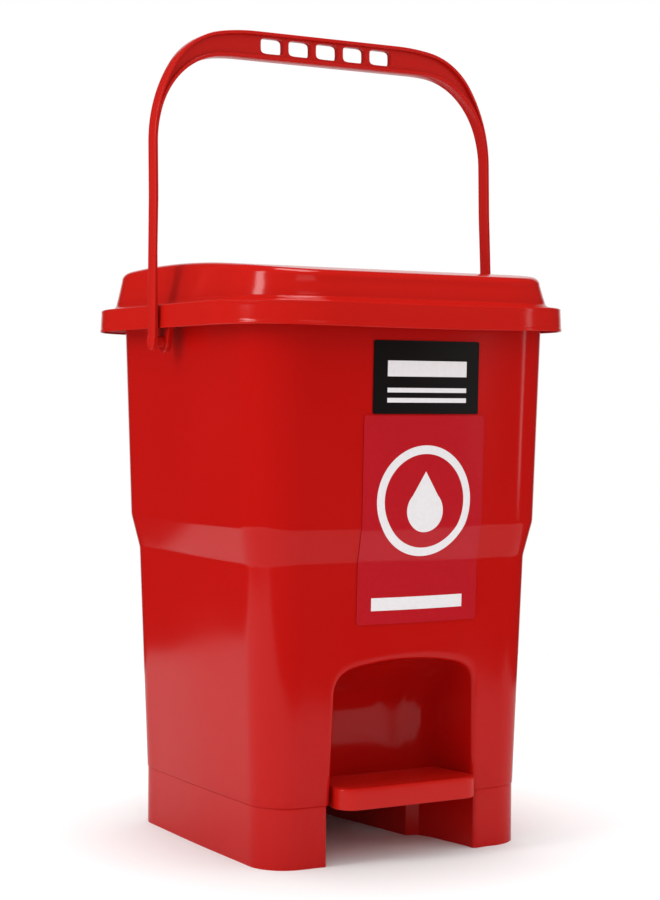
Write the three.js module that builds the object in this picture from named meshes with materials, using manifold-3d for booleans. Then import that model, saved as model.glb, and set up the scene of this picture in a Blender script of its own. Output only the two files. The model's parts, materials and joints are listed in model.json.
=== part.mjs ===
// Pedal-operated waste bin for a biology lab: a tapered red shell on a base frame, a capped lid that a
// foot pedal lifts through a rod at the back, and a bail handle with a slotted grip.
// Millimetres, +Z up, front face towards -Y. Pieces are drawn around the shell's own centre line, and the
// assembly is then moved so that the origin lies on the floor under the middle of the lid.
import * as THREE from 'three';
import { mergeVertices } from 'three/addons/utils/BufferGeometryUtils.js';
import Module from 'manifold-3d';

const wasm = await Module();
wasm.setup();

// ---- driving dimensions -------------------------------------------------------------------------

const GAP = 0.3; // running or resting gap between neighbouring pieces
const WALL = 2.5; // moulded wall thickness

// Shell: half-width and corner radius at each height, from the floor of the shell to its rim
const SHELL = [
  { z: 42.8, half: 108.3, corner: 27.6 },
  { z: 211, half: 113.9, corner: 30.4 },
  { z: 236.5, half: 119.5, corner: 33.2 },
  { z: 384, half: 123.7, corner: 35 },
];
const SHELL_FLOOR = 2.6;
const FRONT_BOW = 5; // how far the front face bulges past its corners
const SIDE_BOW = 1;
const FLANGE = { half: 137.7, depth: 151, corner: 68, bottom: 380, top: 384 };

const BASE = { half: 106.7, corner: 26.8, top: 42.4, plate: 2.8 };

// Pedal alcove in the shell's front, and the tunnel through the base that the pedal lever runs in
const ALCOVE = { half: 59, shoulder: 121, crown: 142, corner: 20, back: -48, backHalf: 53 };
const TUNNEL = { frontHalf: 61, neckHalf: 41, rearHalf: 20, neckY: -48, rearY: 100 };

const LID_Y = 5.3; // the lid sits further back than the shell, over its hinge
const RIM = { half: 141.2, depth: 155.5, corner: 72, bottom: 375.4, top: 392.5, draft: 1.5 };
const PLATEAU = { inset: 14.5, topInset: 20, corner: 54, height: 414, crown: 9.5, crownY: 35 };
const LID_WALL = 2.2;

// Two hinges at +x and -x: a lug of the lid between two lugs of the shell, on one headed pin
const HINGE = { y: 147.5, z: 377, x: 37, pin: 2, head: 3.4, lug: 4.6, lidLugHalf: 3.5 };
const SHELL_LUG = { places: [30, 44], half: 2, rootBottom: 350, rootTop: 381 };
const HINGE_NOTCH = { half: 48, back: 170, bottom: 350, top: 390 }; // the flange is left out behind the lugs
const LINKAGE_ANGLE = 40; // lid opening in degrees that the lift rod is laid out for, evenly about its middle
const HEEL = 16; // distance from the hinge axis to the rod's upper eye

const PEDAL_PIVOT = { y: 46, z: 21, axle: 2.5 };
const TREAD = { half: 57, backHalf: 51.5, front: -124, back: -72, bottom: 40.5, top: 55.5, corner: 13 };
const LEVER_HALF = 17;
const LEVER_WALL = 3;
const AXLE_HALF = 38;
const AXLE_CLIP = { x: 35, radius: 6 };

const ROD = 2; // lift rod radius
const ROD_BEND = 5;
const ROD_REACH = 15; // the crank ends point to -x, through the pedal's eye and the lid's heel
const ROD_EYE = { from: -10, to: -6, pedal: 5.2, lid: 5.4 };
const ROD_CLIP = { x: -12.2, radius: 5 };

const HANDLE = { y: 1.5, z: 366, inner: 142.8, outer: 146.2, width: 12, lean: 1.5, peg: 4 };
const ARM = { inner: 141.7, outer: 144.3, z: 470 }; // the arms draw in well above the rim, to swing past it
const EYE_RADIUS = 7; // the rounded lower end of each arm
const EAR = { inner: 133, outer: 137, nose: 8, rootHalf: 12, rootZ: 381 }; // bearings for the pegs
const GRIP = { top: 595.5, bottom: 575.3 };
const SLOTS = { count: 5, pitch: 23.4, width: 19, height: 11.5, z: 585.8 };
// The bail's two flanks as tangent arcs, from the upright arm (0 degrees) over to the level grip (90)
const OUTER_ARCS = [{ radius: 110, to: 32 }, { radius: 55, to: 80 }, { radius: 170, to: 90 }];
const INNER_ARCS = [
  { radius: 85, to: 18 }, { radius: 62, to: 45 }, { radius: 53, to: 84 }, { radius: 150, to: 90 },
];

const LABEL = { left: -36.7, right: 51.3, bottom: 315, top: 366, thickness: 0.4 };
const FILM = { left: -43, right: 57, bottom: 168, top: 314, thickness: 0.4 };

// ---- materials ----------------------------------------------------------------------------------

const red = { color: 0xc81410, roughness: 0.28, metalness: 0 };
const steel = { color: 0xb4b6ba, roughness: 0.35, metalness: 1 };
const black = { color: 0x141212, roughness: 0.4, metalness: 0 };
const film = { color: 0xb8201c, roughness: 0.25, metalness: 0 };

// ---- solids -------------------------------------------------------------------------------------

/** Turns a closed three.js geometry into a manifold solid. */
function solid(geometry) {
  const bare = geometry.clone();
  bare.deleteAttribute('normal');
  bare.deleteAttribute('uv');
  const merged = mergeVertices(bare, 1e-4);
  return new wasm.Manifold(new wasm.Mesh({
    numProp: 3,
    vertProperties: new Float32Array(merged.attributes.position.array),
    triVerts: new Uint32Array(merged.index.array),
  }));
}

/** Turns a manifold solid back into a three.js geometry. */
function geometryOf(manifold) {
  const mesh = manifold.getMesh();
  const geometry = new THREE.BufferGeometry();
  geometry.setAttribute('position', new THREE.BufferAttribute(new Float32Array(mesh.vertProperties), 3));
  geometry.setIndex(new THREE.BufferAttribute(new Uint32Array(mesh.triVerts), 1));
  return geometry;
}

const join = (...solids) => solids.reduce((sum, next) => sum.add(next));

/** A rounded rectangle in plan, counter-clockwise, whose sides can bulge towards their middles. */
function outline({ half, depth = half, corner, y = 0, side = 0, front = 0, rear = 0 }) {
  const points = [];
  const arc = 5;
  const run = 8;
  const bulges = [side, rear, side, front];
  for (let quarter = 0; quarter < 4; quarter += 1) {
    const turn = (quarter * Math.PI) / 2;
    const along = quarter % 2 === 0 ? depth : half;
    const across = quarter % 2 === 0 ? half : depth;
    const place = (out, sideways) => points.push([
      Math.cos(turn) * out - Math.sin(turn) * sideways,
      y + Math.sin(turn) * out + Math.cos(turn) * sideways,
    ]);
    for (let i = 0; i < run; i += 1) {
      const u = -1 + (2 * i) / run;
      place(across + bulges[quarter] * (1 - u * u) ** 2, u * (along - corner));
    }
    for (let i = 0; i < arc; i += 1) {
      const angle = (i / arc) * (Math.PI / 2);
      place(across - corner + corner * Math.cos(angle), along - corner + corner * Math.sin(angle));
    }
  }
  return points;
}

/**
 * A closed skin through a list of rings with equally many points. The first ring is capped facing down and
 * the last one facing up, so a list that climbs outside and comes down inside makes a cup. A ring's height
 * is a number or a function of y.
 */
function loft(rings) {
  const positions = [];
  const index = [];
  const count = rings[0].points.length;
  const heightOf = (ring, y) => (typeof ring.z === 'function' ? ring.z(y) : ring.z);
  for (const ring of rings) {
    for (const [x, y] of ring.points) positions.push(x, y, heightOf(ring, y));
  }
  for (let i = 0; i + 1 < rings.length; i += 1) {
    for (let j = 0; j < count; j += 1) {
      const a = i * count + j;
      const b = i * count + ((j + 1) % count);
      index.push(a, b, b + count, a, b + count, a + count);
    }
  }
  const cap = (ring, first, up) => {
    const y = ring.points.reduce((sum, point) => sum + point[1], 0) / count;
    const middle = positions.length / 3;
    positions.push(0, y, heightOf(ring, y));
    for (let j = 0; j < count; j += 1) {
      const a = first + j;
      const b = first + ((j + 1) % count);
      index.push(middle, up ? a : b, up ? b : a);
    }
  };
  cap(rings[0], 0, false);
  cap(rings[rings.length - 1], (rings.length - 1) * count, true);
  const geometry = new THREE.BufferGeometry();
  geometry.setAttribute('position', new THREE.Float32BufferAttribute(positions, 3));
  geometry.setIndex(index);
  return solid(geometry);
}

function box(x0, x1, y0, y1, z0, z1) {
  const geometry = new THREE.BoxGeometry(x1 - x0, y1 - y0, z1 - z0);
  geometry.translate((x0 + x1) / 2, (y0 + y1) / 2, (z0 + z1) / 2);
  return solid(geometry);
}

/** A cylinder along an axis ('x', 'y' or 'z') from one end to the other, centred on the other two. */
function rod(axis, radius, from, to, a, b, sides = 16) {
  const geometry = new THREE.CylinderGeometry(radius, radius, to - from, sides);
  const middle = (from + to) / 2;
  if (axis === 'x') geometry.rotateZ(-Math.PI / 2).translate(middle, a, b);
  if (axis === 'y') geometry.translate(a, middle, b);
  if (axis === 'z') geometry.rotateX(Math.PI / 2).translate(a, b, middle);
  return solid(geometry);
}

const extrusion = (shape, depth) => new THREE.ExtrudeGeometry(shape, {
  depth, bevelEnabled: false, curveSegments: 5,
});

/** A flat plate whose outline is drawn in the Y-Z plane, from x0 to x1. */
function plateX(shape, x0, x1) {
  const turn = new THREE.Matrix4().makeBasis(
    new THREE.Vector3(0, 1, 0), new THREE.Vector3(0, 0, 1), new THREE.Vector3(1, 0, 0),
  );
  return solid(extrusion(shape, x1 - x0).applyMatrix4(turn).translate(x0, 0, 0));
}

/** A flat plate whose outline is drawn in the X-Z plane, from y0 to y1. */
function plateY(shape, y0, y1) {
  return solid(extrusion(shape, y1 - y0).rotateX(Math.PI / 2).translate(0, y1, 0));
}

/** A flat plate whose outline is drawn in plan, from z0 to z1. */
function plateZ(shape, z0, z1) {
  return solid(extrusion(shape, z1 - z0).translate(0, 0, z0));
}

/** The two ends of a stretch on one side of the middle, the lower one first. */
const span = (side, a, b) => [Math.min(side * a, side * b), Math.max(side * a, side * b)];

const polygon = (points) => new THREE.Shape(points.map(([a, b]) => new THREE.Vector2(a, b)));

/**
 * The outline of a lug: counter-clockwise from its first root point, round a nose, to its second one, and
 * back through any points between them.
 */
function lugShape(centre, radius, rootA, rootB, ...between) {
  const shape = new THREE.Shape();
  const [y, z] = centre;
  const tangentAngle = (root, side) => {
    const dy = root[0] - y;
    const dz = root[1] - z;
    return Math.atan2(dz, dy) + side * Math.acos(radius / Math.hypot(dy, dz));
  };
  const start = tangentAngle(rootA, 1);
  let end = tangentAngle(rootB, -1);
  if (end < start) end += 2 * Math.PI;
  shape.moveTo(rootA[0], rootA[1]);
  shape.absarc(y, z, radius, start, end, false);
  shape.lineTo(rootB[0], rootB[1]);
  for (const point of between) shape.lineTo(point[0], point[1]);
  return shape;
}

const assembly = new THREE.Group();
assembly.position.y = -LID_Y;

function piece(name, shape, look) {
  const geometry = shape instanceof THREE.BufferGeometry ? shape : geometryOf(shape);
  const mesh = new THREE.Mesh(geometry, new THREE.MeshStandardMaterial(look));
  mesh.name = name;
  assembly.add(mesh);
  return mesh;
}

// ---- the shell's outline at any height ----------------------------------------------------------

/** The shell's section at a height, drawn in by an inset. */
function shellSection(z, inset = 0) {
  let i = 0;
  while (i < SHELL.length - 2 && z > SHELL[i + 1].z) i += 1;
  const t = (z - SHELL[i].z) / (SHELL[i + 1].z - SHELL[i].z);
  return {
    half: THREE.MathUtils.lerp(SHELL[i].half, SHELL[i + 1].half, t) - inset,
    corner: THREE.MathUtils.lerp(SHELL[i].corner, SHELL[i + 1].corner, t) - inset,
    side: SIDE_BOW,
    front: FRONT_BOW,
  };
}

/** How far the shell's front face stands from the centre line at x and z. */
function frontFace(x, z) {
  const { half, corner } = shellSection(z);
  const u = x / (half - corner);
  return half + FRONT_BOW * (1 - Math.min(1, u * u)) ** 2;
}

const shellBody = (inset, bottom, top) => loft(
  [bottom, SHELL[1].z, SHELL[2].z, top].map((z) => ({ points: outline(shellSection(z, inset)), z })),
);

/** The alcove's volume, grown by a wall thickness: an arch, cut off by its curved roof and rounded plan. */
function alcoveVolume(grow) {
  const half = ALCOVE.half + grow;
  const shoulder = ALCOVE.shoulder;
  const crown = ALCOVE.crown + grow;
  const arch = new THREE.Shape();
  arch.moveTo(-half - 1, 30);
  arch.lineTo(half + 1, 30);
  arch.lineTo(half - 2, shoulder);
  arch.quadraticCurveTo(half - 3, crown - 7, half - ALCOVE.corner, crown - 4);
  arch.quadraticCurveTo(0, crown + 4, -half + ALCOVE.corner, crown - 4);
  arch.quadraticCurveTo(-half + 3, crown - 7, -half + 2, shoulder);
  const back = ALCOVE.back + grow;
  const profile = new THREE.Shape();
  profile.moveTo(-140, 30);
  profile.lineTo(back, 30);
  profile.lineTo(back - 2, crown - 50);
  profile.quadraticCurveTo(back - 4, crown - 4, -140, crown + 6);
  const plan = new THREE.Shape();
  const backHalf = ALCOVE.backHalf + grow;
  plan.moveTo(-half - 2, -140);
  plan.lineTo(half + 2, -140);
  plan.lineTo(backHalf, back - 14);
  plan.quadraticCurveTo(backHalf - 1, back, backHalf - 14, back);
  plan.lineTo(-backHalf + 14, back);
  plan.quadraticCurveTo(-backHalf + 1, back, -backHalf, back - 14);
  return plateY(arch, -140, 0)
    .intersect(plateX(profile, -80, 80))
    .intersect(plateZ(plan, 20, 200));
}

// ---- shell --------------------------------------------------------------------------------------

const SCREW_PLACES = [[-84, -80], [84, -80], [-78, 78], [78, 78]];
const GUIDE = { z: 262, half: 16, height: 9, screwX: 10 };
const SCREW = { shank: 1.5, head: 3.4, headHeight: 1.8, baseLength: 13, guideLength: 9 };
const BASE_BOSS = { radius: 5, height: 14, depth: 12 };
const GUIDE_BOSS = { radius: 4, length: 8, depth: 8 };
const ROD_Y = HINGE.y - HEEL * Math.cos(THREE.MathUtils.degToRad(LINKAGE_ANGLE / 2));
const HEEL_DROP = HEEL * Math.sin(THREE.MathUtils.degToRad(LINKAGE_ANGLE / 2));

function bodyShell() {
  const bottom = SHELL[0].z;
  const top = FLANGE.top;
  const alcove = alcoveVolume(0);
  const inside = shellBody(WALL, bottom + SHELL_FLOOR, top + 1).subtract(alcoveVolume(WALL));
  const flange = loft([FLANGE.bottom, FLANGE.top].map((z) => ({
    points: outline({ half: FLANGE.half, depth: FLANGE.depth, corner: FLANGE.corner, y: LID_Y }), z,
  })));
  const rearWall = shellSection(FLANGE.bottom).half;
  const notch = HINGE_NOTCH;
  const hingeNotch = box(-notch.half, notch.half, rearWall + GAP, notch.back, notch.bottom, notch.top);
  let shell = join(shellBody(0, bottom, top), flange.subtract(hingeNotch));

  for (const side of [-1, 1]) {
    const { places, half, rootBottom, rootTop } = SHELL_LUG;
    const root = rearWall - 1.5; // inside the rear wall's thickness
    for (const x of places) {
      const lug = lugShape([HINGE.y, HINGE.z], HINGE.lug, [root, rootBottom], [root, rootTop]);
      shell = shell.add(plateX(lug, side * x - half, side * x + half));
    }
    const pinBore = span(side, HINGE.x - 12, HINGE.x + 12);
    shell = shell.subtract(rod('x', HINGE.pin + GAP, ...pinBore, HINGE.y, HINGE.z));
    const { y, z } = HANDLE;
    const ear = lugShape([y, z], EAR.nose, [y - EAR.rootHalf, EAR.rootZ], [y + EAR.rootHalf, EAR.rootZ]);
    shell = shell.add(plateX(ear, ...span(side, EAR.inner, EAR.outer)));
    shell = shell.subtract(rod('x', HANDLE.peg + GAP, ...span(side, EAR.inner - 2, EAR.outer + 4), y, z));
  }
  shell = shell.subtract(inside).subtract(alcove);

  for (const [x, y] of SCREW_PLACES) {
    shell = shell.add(rod('z', BASE_BOSS.radius, bottom, bottom + BASE_BOSS.height, x, y));
    shell = shell.subtract(rod('z', SCREW.shank + GAP, bottom - 1, bottom + BASE_BOSS.depth, x, y));
  }
  const guideWall = shellSection(GUIDE.z).half;
  for (const x of [-GUIDE.screwX, GUIDE.screwX]) {
    const { radius, length, depth } = GUIDE_BOSS;
    shell = shell.add(rod('y', radius, guideWall - 1 - length, guideWall - 1, x, GUIDE.z));
    shell = shell.subtract(rod('y', SCREW.shank + GAP, guideWall - depth, guideWall + 5, x, GUIDE.z));
  }
  return shell;
}

piece('body_shell', bodyShell(), red);

// ---- base frame ---------------------------------------------------------------------------------

/** The lever tunnel in plan: wide at the front opening, necked in behind the alcove, narrowing rearwards. */
function tunnelShape(grow, rearEnd) {
  const { frontHalf, neckHalf, rearHalf, neckY, rearY } = TUNNEL;
  const right = [
    [frontHalf + grow, -140], [frontHalf + grow, -112], [ALCOVE.backHalf + 1 + grow, neckY - 14 + grow / 2],
    [ALCOVE.backHalf - 3 + grow, neckY - 4 + grow], [neckHalf + grow, neckY + grow],
    [rearHalf + grow, rearY], [rearHalf + grow, rearEnd],
  ];
  const left = right.map(([x, y]) => [-x, y]).reverse();
  return polygon([...right, ...left]);
}

function baseFrame() {
  const { half, corner, top, plate } = BASE;
  const ring = (inset) => outline({
    half: half - inset, corner: corner - inset, side: SIDE_BOW, front: FRONT_BOW,
  });
  const block = (inset, z0, z1) => loft([{ points: ring(inset), z: z0 }, { points: ring(inset), z: z1 }]);
  const skirt = block(0, 0, top).subtract(block(WALL, -1, top - plate));
  const cheeks = plateZ(tunnelShape(WALL, 104), 0, top).intersect(block(0.5, 0, top));
  const opening = plateZ(tunnelShape(0, 96), -1, top + 1);
  const rearNotch = box(-TUNNEL.rearHalf, TUNNEL.rearHalf, 90, 120, -1, 37);
  let frame = skirt.add(cheeks);
  const boss = rod('x', 6, -34, 34, PEDAL_PIVOT.y, PEDAL_PIVOT.z);
  frame = frame.add(boss).subtract(opening).subtract(rearNotch);
  frame = frame.subtract(rod('x', PEDAL_PIVOT.axle + GAP, -40, 40, PEDAL_PIVOT.y, PEDAL_PIVOT.z));
  for (const [x, y] of SCREW_PLACES) {
    frame = frame.subtract(rod('z', SCREW.shank + GAP, 30, 50, x, y));
  }
  return frame;
}

piece('base_frame', baseFrame(), red);

/** A pan-head screw along +Z with its head's outer face at z = 0, as a turned profile. */
function screwGeometry(length) {
  const { shank, head, headHeight } = SCREW;
  const profile = [
    [0, 0], [head - 0.6, 0], [head, 0.6], [head, headHeight], [shank, headHeight],
    [shank, headHeight + length - 1], [0, headHeight + length],
  ];
  const geometry = new THREE.LatheGeometry(profile.map(([r, h]) => new THREE.Vector2(r, h)), 12);
  geometry.rotateX(Math.PI / 2);
  return geometry;
}

SCREW_PLACES.forEach(([x, y], i) => {
  const screw = piece(`base_screw_${i + 1}`, solid(screwGeometry(SCREW.baseLength)), steel);
  screw.position.set(x, y, BASE.top - BASE.plate - GAP - SCREW.headHeight);
});

// ---- pedal, its axle and its clips --------------------------------------------------------------

const PEDAL_HALF_TRAVEL = Math.atan2(HEEL_DROP, ROD_Y - PEDAL_PIVOT.y);
const ROD_LOW = PEDAL_PIVOT.z - (ROD_Y - PEDAL_PIVOT.y) * Math.tan(PEDAL_HALF_TRAVEL);
const ROD_HIGH = HINGE.z - HEEL_DROP;

function pedal() {
  const { half, backHalf, front, back, bottom, top, corner } = TREAD;
  const plan = (inset) => {
    const shape = new THREE.Shape();
    const [x, r] = [half - inset, corner - inset];
    shape.moveTo(backHalf - inset, back - inset);
    shape.lineTo(-backHalf + inset, back - inset);
    shape.lineTo(-x, front + corner);
    shape.absarc(-half + corner, front + corner, r, Math.PI, 1.5 * Math.PI, false);
    shape.absarc(half - corner, front + corner, r, 1.5 * Math.PI, 2 * Math.PI, false);
    return shape;
  };
  const tray = plateZ(plan(0), bottom, top);
  const hollow = plateZ(plan(WALL), bottom - 1, top - WALL);
  const { y, z } = PEDAL_PIVOT;
  const lever = polygon([
    [back - 4, top - 3], [back - 4, bottom], [-52, 30], [y - 10, 13], [y + 6, 11], [112, 10], [112, 22],
    [y + 8, 30], [-44, 39.5], [-60, 42],
  ]);
  const pocket = polygon([
    [back + 2, bottom - 4], [-54, 25], [y - 12, 5], [104, 5], [104, 18], [y + 8, 27], [y - 8, 27.5],
    [-50, 37], [back + 2, 42],
  ]);
  const eye = lugShape([ROD_Y, ROD_LOW], ROD_EYE.pedal, [108, 12], [108, 20]);
  return join(
    tray.subtract(hollow),
    plateX(lever, -LEVER_HALF, LEVER_HALF)
      .subtract(plateX(pocket, -LEVER_HALF + LEVER_WALL, LEVER_HALF - LEVER_WALL)),
    rod('x', 5.5, -LEVER_HALF, LEVER_HALF, y, z),
    plateX(eye, ROD_EYE.from, ROD_EYE.to),
  )
    .subtract(rod('x', PEDAL_PIVOT.axle + GAP, -40, 40, y, z))
    .subtract(rod('x', ROD + 0.4, -20, 0, ROD_Y, ROD_LOW));
}

piece('pedal', pedal(), red);
piece('pedal_axle', rod('x', PEDAL_PIVOT.axle, -AXLE_HALF, AXLE_HALF, PEDAL_PIVOT.y, PEDAL_PIVOT.z), steel);

/** A push-on retaining clip: a thin ring on a shaft that runs along X. */
const clip = (shaft, outer, x, y, z) => rod('x', outer, x - 0.6, x + 0.6, y, z)
  .subtract(rod('x', shaft + GAP, x - 2, x + 2, y, z));

const axleClip = (x) => clip(PEDAL_PIVOT.axle, AXLE_CLIP.radius, x, PEDAL_PIVOT.y, PEDAL_PIVOT.z);
piece('axle_clip_left', axleClip(-AXLE_CLIP.x), steel);
piece('axle_clip_right', axleClip(AXLE_CLIP.x), steel);

// ---- lift rod -----------------------------------------------------------------------------------

/** The bent rod's centre line: a crank end, a bend, the long run, a bend and a crank end. */
class BentRod extends THREE.Curve {
  getPoint(t) {
    const reach = ROD_REACH;
    const bend = ROD_BEND;
    const steps = 5;
    const stops = [new THREE.Vector3(-reach, ROD_Y, ROD_LOW)];
    for (let i = 0; i <= steps; i += 1) {
      const angle = (i / steps) * (Math.PI / 2);
      stops.push(new THREE.Vector3(
        -bend + bend * Math.sin(angle), ROD_Y, ROD_LOW + bend - bend * Math.cos(angle),
      ));
    }
    for (let i = 0; i <= steps; i += 1) {
      const angle = (i / steps) * (Math.PI / 2);
      stops.push(new THREE.Vector3(
        -bend + bend * Math.cos(angle), ROD_Y, ROD_HIGH - bend + bend * Math.sin(angle),
      ));
    }
    stops.push(new THREE.Vector3(-reach, ROD_Y, ROD_HIGH));
    const place = t * (stops.length - 1);
    const i = Math.min(stops.length - 2, Math.floor(place));
    return stops[i].clone().lerp(stops[i + 1], place - i);
  }

  getPointAt(t) {
    return this.getPoint(t);
  }

  getTangentAt(t) {
    const step = 0.02;
    const ahead = this.getPoint(Math.min(1, t + step));
    return ahead.sub(this.getPoint(Math.max(0, t - step))).normalize();
  }
}

function liftRod() {
  const section = new THREE.Shape().absarc(0, 0, ROD, 0, 2 * Math.PI, false);
  const geometry = new THREE.ExtrudeGeometry(section, {
    steps: 13, extrudePath: new BentRod(), curveSegments: 6, bevelEnabled: false,
  });
  return solid(geometry);
}

piece('lift_rod', liftRod(), steel);
piece('rod_clip_lower', clip(ROD, ROD_CLIP.radius, ROD_CLIP.x, ROD_Y, ROD_LOW), steel);
piece('rod_clip_upper', clip(ROD, ROD_CLIP.radius, ROD_CLIP.x, ROD_Y, ROD_HIGH), steel);

// ---- rod guide on the back wall -----------------------------------------------------------------

function rodGuide() {
  const face = shellSection(GUIDE.z + GUIDE.height).half + GAP;
  const { z, half, height } = GUIDE;
  const plate = box(-half, half, face, face + 3, z - height, z + height);
  const arm = box(-5.5, 5.5, face + 1, ROD_Y, z - 5, z + 5);
  const eye = rod('z', 5.5, z - 5, z + 5, 0, ROD_Y);
  let guide = join(plate, arm, eye).subtract(rod('z', ROD + 0.8, z - 10, z + 10, 0, ROD_Y));
  for (const x of [-GUIDE.screwX, GUIDE.screwX]) {
    guide = guide.subtract(rod('y', SCREW.shank + GAP, face - 5, face + 10, x, z));
  }
  return guide;
}

piece('rod_guide', rodGuide(), red);

[-GUIDE.screwX, GUIDE.screwX].forEach((x, i) => {
  const screw = piece(`guide_screw_${i + 1}`, solid(screwGeometry(SCREW.guideLength)), steel);
  const face = shellSection(GUIDE.z + GUIDE.height).half + GAP;
  screw.position.set(x, face + 3 + GAP + SCREW.headHeight, GUIDE.z);
  screw.rotation.x = Math.PI / 2;
});

// ---- lid ----------------------------------------------------------------------------------------

/** The lid's section drawn in from the rim's edge by an inset. */
const lidRing = (inset, corner) => outline({
  half: RIM.half - inset, depth: RIM.depth - inset, corner, y: LID_Y,
});

/** Height of a crowned level of the lid: highest a little behind the middle, lower towards the front. */
const crowned = (z) => (y) => z + PLATEAU.crown * (1 - ((y - PLATEAU.crownY) / 155) ** 2);

function lid() {
  const { inset, topInset, corner, height } = PLATEAU;
  const wall = LID_WALL;
  const scaled = (points, k) => points.map(([x, y]) => [x * k, LID_Y + (y - LID_Y) * k]);
  const top = lidRing(topInset + 9, corner - 14);
  const under = lidRing(topInset + 9 + wall, corner - 16);
  const cap = loft([
    { points: scaled(under, 0.15), z: crowned(height - wall) },
    { points: scaled(under, 0.6), z: crowned(height - wall) },
    { points: under, z: crowned(height - wall) },
    { points: lidRing(topInset + wall, corner - 8), z: crowned(height - 5 - wall) },
    { points: lidRing(inset + wall, corner), z: 394 - wall },
    { points: lidRing(RIM.draft + wall, RIM.corner - wall), z: RIM.top - wall },
    { points: lidRing(wall, RIM.corner - wall), z: RIM.bottom },
    { points: lidRing(0, RIM.corner), z: RIM.bottom },
    { points: lidRing(RIM.draft, RIM.corner - 1), z: RIM.top },
    { points: lidRing(inset, corner), z: 395 },
    { points: lidRing(topInset, corner - 8), z: crowned(height - 5) },
    { points: top, z: crowned(height) },
    { points: scaled(top, 0.6), z: crowned(height) },
    { points: scaled(top, 0.15), z: crowned(height) },
  ]);
  const parts = [cap];
  const roof = (back, z) => [LID_Y + RIM.depth - back, z]; // a point inside the wall at the lid's rear
  for (const side of [-1, 1]) {
    const lug = lugShape([HINGE.y, HINGE.z], HINGE.lug, roof(21.3, 412), roof(8.8, 392), roof(16.9, 398));
    parts.push(plateX(lug, side * HINGE.x - HINGE.lidLugHalf, side * HINGE.x + HINGE.lidLugHalf));
  }
  const eyeY = ROD_Y + 0.6;
  const eyeZ = ROD_HIGH + 0.2;
  const heel = lugShape([eyeY, eyeZ], ROD_EYE.lid, roof(31.3, 419), roof(18.8, 402), roof(21.3, 411.5));
  parts.push(plateX(heel, ROD_EYE.from, ROD_EYE.to));
  return join(...parts)
    .subtract(rod('x', HINGE.pin + GAP, -48, 48, HINGE.y, HINGE.z))
    .subtract(rod('x', ROD + 1.3, -20, 0, eyeY, eyeZ));
}

piece('lid', lid(), red);

/** A headed hinge pin along X. */
function hingePin(side) {
  const shaft = rod('x', HINGE.pin, ...span(side, 27.2, 47), HINGE.y, HINGE.z);
  return shaft.add(rod('x', HINGE.head, ...span(side, 46.5, 48), HINGE.y, HINGE.z));
}

piece('hinge_pin_left', hingePin(-1), steel);
piece('hinge_pin_right', hingePin(1), steel);

// ---- bail handle --------------------------------------------------------------------------------

/** One flank of the bail: tangent arcs that start upright at x and end level at the height top. */
function bailFlank(x, top, arcs) {
  const radians = THREE.MathUtils.degToRad;
  let from = 0;
  let rise = 0;
  for (const { radius, to } of arcs) {
    rise += radius * (Math.sin(radians(to)) - Math.sin(radians(from)));
    from = to;
  }
  from = 0;
  let at = [x, top - rise];
  const points = [at];
  for (const { radius, to } of arcs) {
    const centre = [at[0] - radius * Math.cos(radians(from)), at[1] - radius * Math.sin(radians(from))];
    const steps = Math.max(1, Math.round((to - from) / 14));
    for (let i = 1; i <= steps; i += 1) {
      const angle = radians(from + ((to - from) * i) / steps);
      at = [centre[0] + radius * Math.cos(angle), centre[1] + radius * Math.sin(angle)];
      points.push(at);
    }
    from = to;
  }
  return points;
}

/** The grip's slot number i, as a hole for the bail's outline. */
function gripSlot(i) {
  const { count, pitch, width, height, z } = SLOTS;
  const x = (i - (count - 1) / 2) * pitch;
  const [w, h, r] = [width / 2, height / 2, 3];
  const slot = new THREE.Path();
  slot.moveTo(x + w, z - h + r);
  slot.absarc(x + w - r, z + h - r, r, 0, Math.PI / 2, false);
  slot.absarc(x - w + r, z + h - r, r, Math.PI / 2, Math.PI, false);
  slot.absarc(x - w + r, z - h + r, r, Math.PI, 1.5 * Math.PI, false);
  slot.absarc(x + w - r, z - h + r, r, 1.5 * Math.PI, 2 * Math.PI, false);
  return slot;
}

function handle() {
  const { y, z, inner, outer, width, peg } = HANDLE;
  const outside = bailFlank(ARM.outer, GRIP.top, OUTER_ARCS);
  const inside = bailFlank(ARM.inner, GRIP.bottom, INNER_ARCS);
  const mirrored = (points) => points.map(([x, h]) => [-x, h]).reverse();
  const right = [[inner, z], [outer, z], [ARM.outer, ARM.z], ...outside];
  const left = mirrored(right);
  const under = [[inner, ARM.z - 40], [ARM.inner, ARM.z], ...inside];
  const shape = polygon([...right, ...left, ...mirrored(under).reverse(), ...[...under].reverse()]);
  for (let i = 0; i < SLOTS.count; i += 1) shape.holes.push(gripSlot(i));
  const parts = [plateY(shape, y - width / 2, y + width / 2)];
  for (const side of [-1, 1]) {
    parts.push(rod('x', EYE_RADIUS, ...span(side, inner, outer), y, z));
    parts.push(rod('x', peg, ...span(side, EAR.inner - 0.6, inner + 1), y, z));
  }
  const lean = THREE.MathUtils.degToRad(HANDLE.lean);
  const geometry = geometryOf(join(...parts));
  return geometry.translate(0, -y, -z).rotateX(-lean).translate(0, y, z);
}

piece('handle', handle(), red);

// ---- labels -------------------------------------------------------------------------------------

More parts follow.
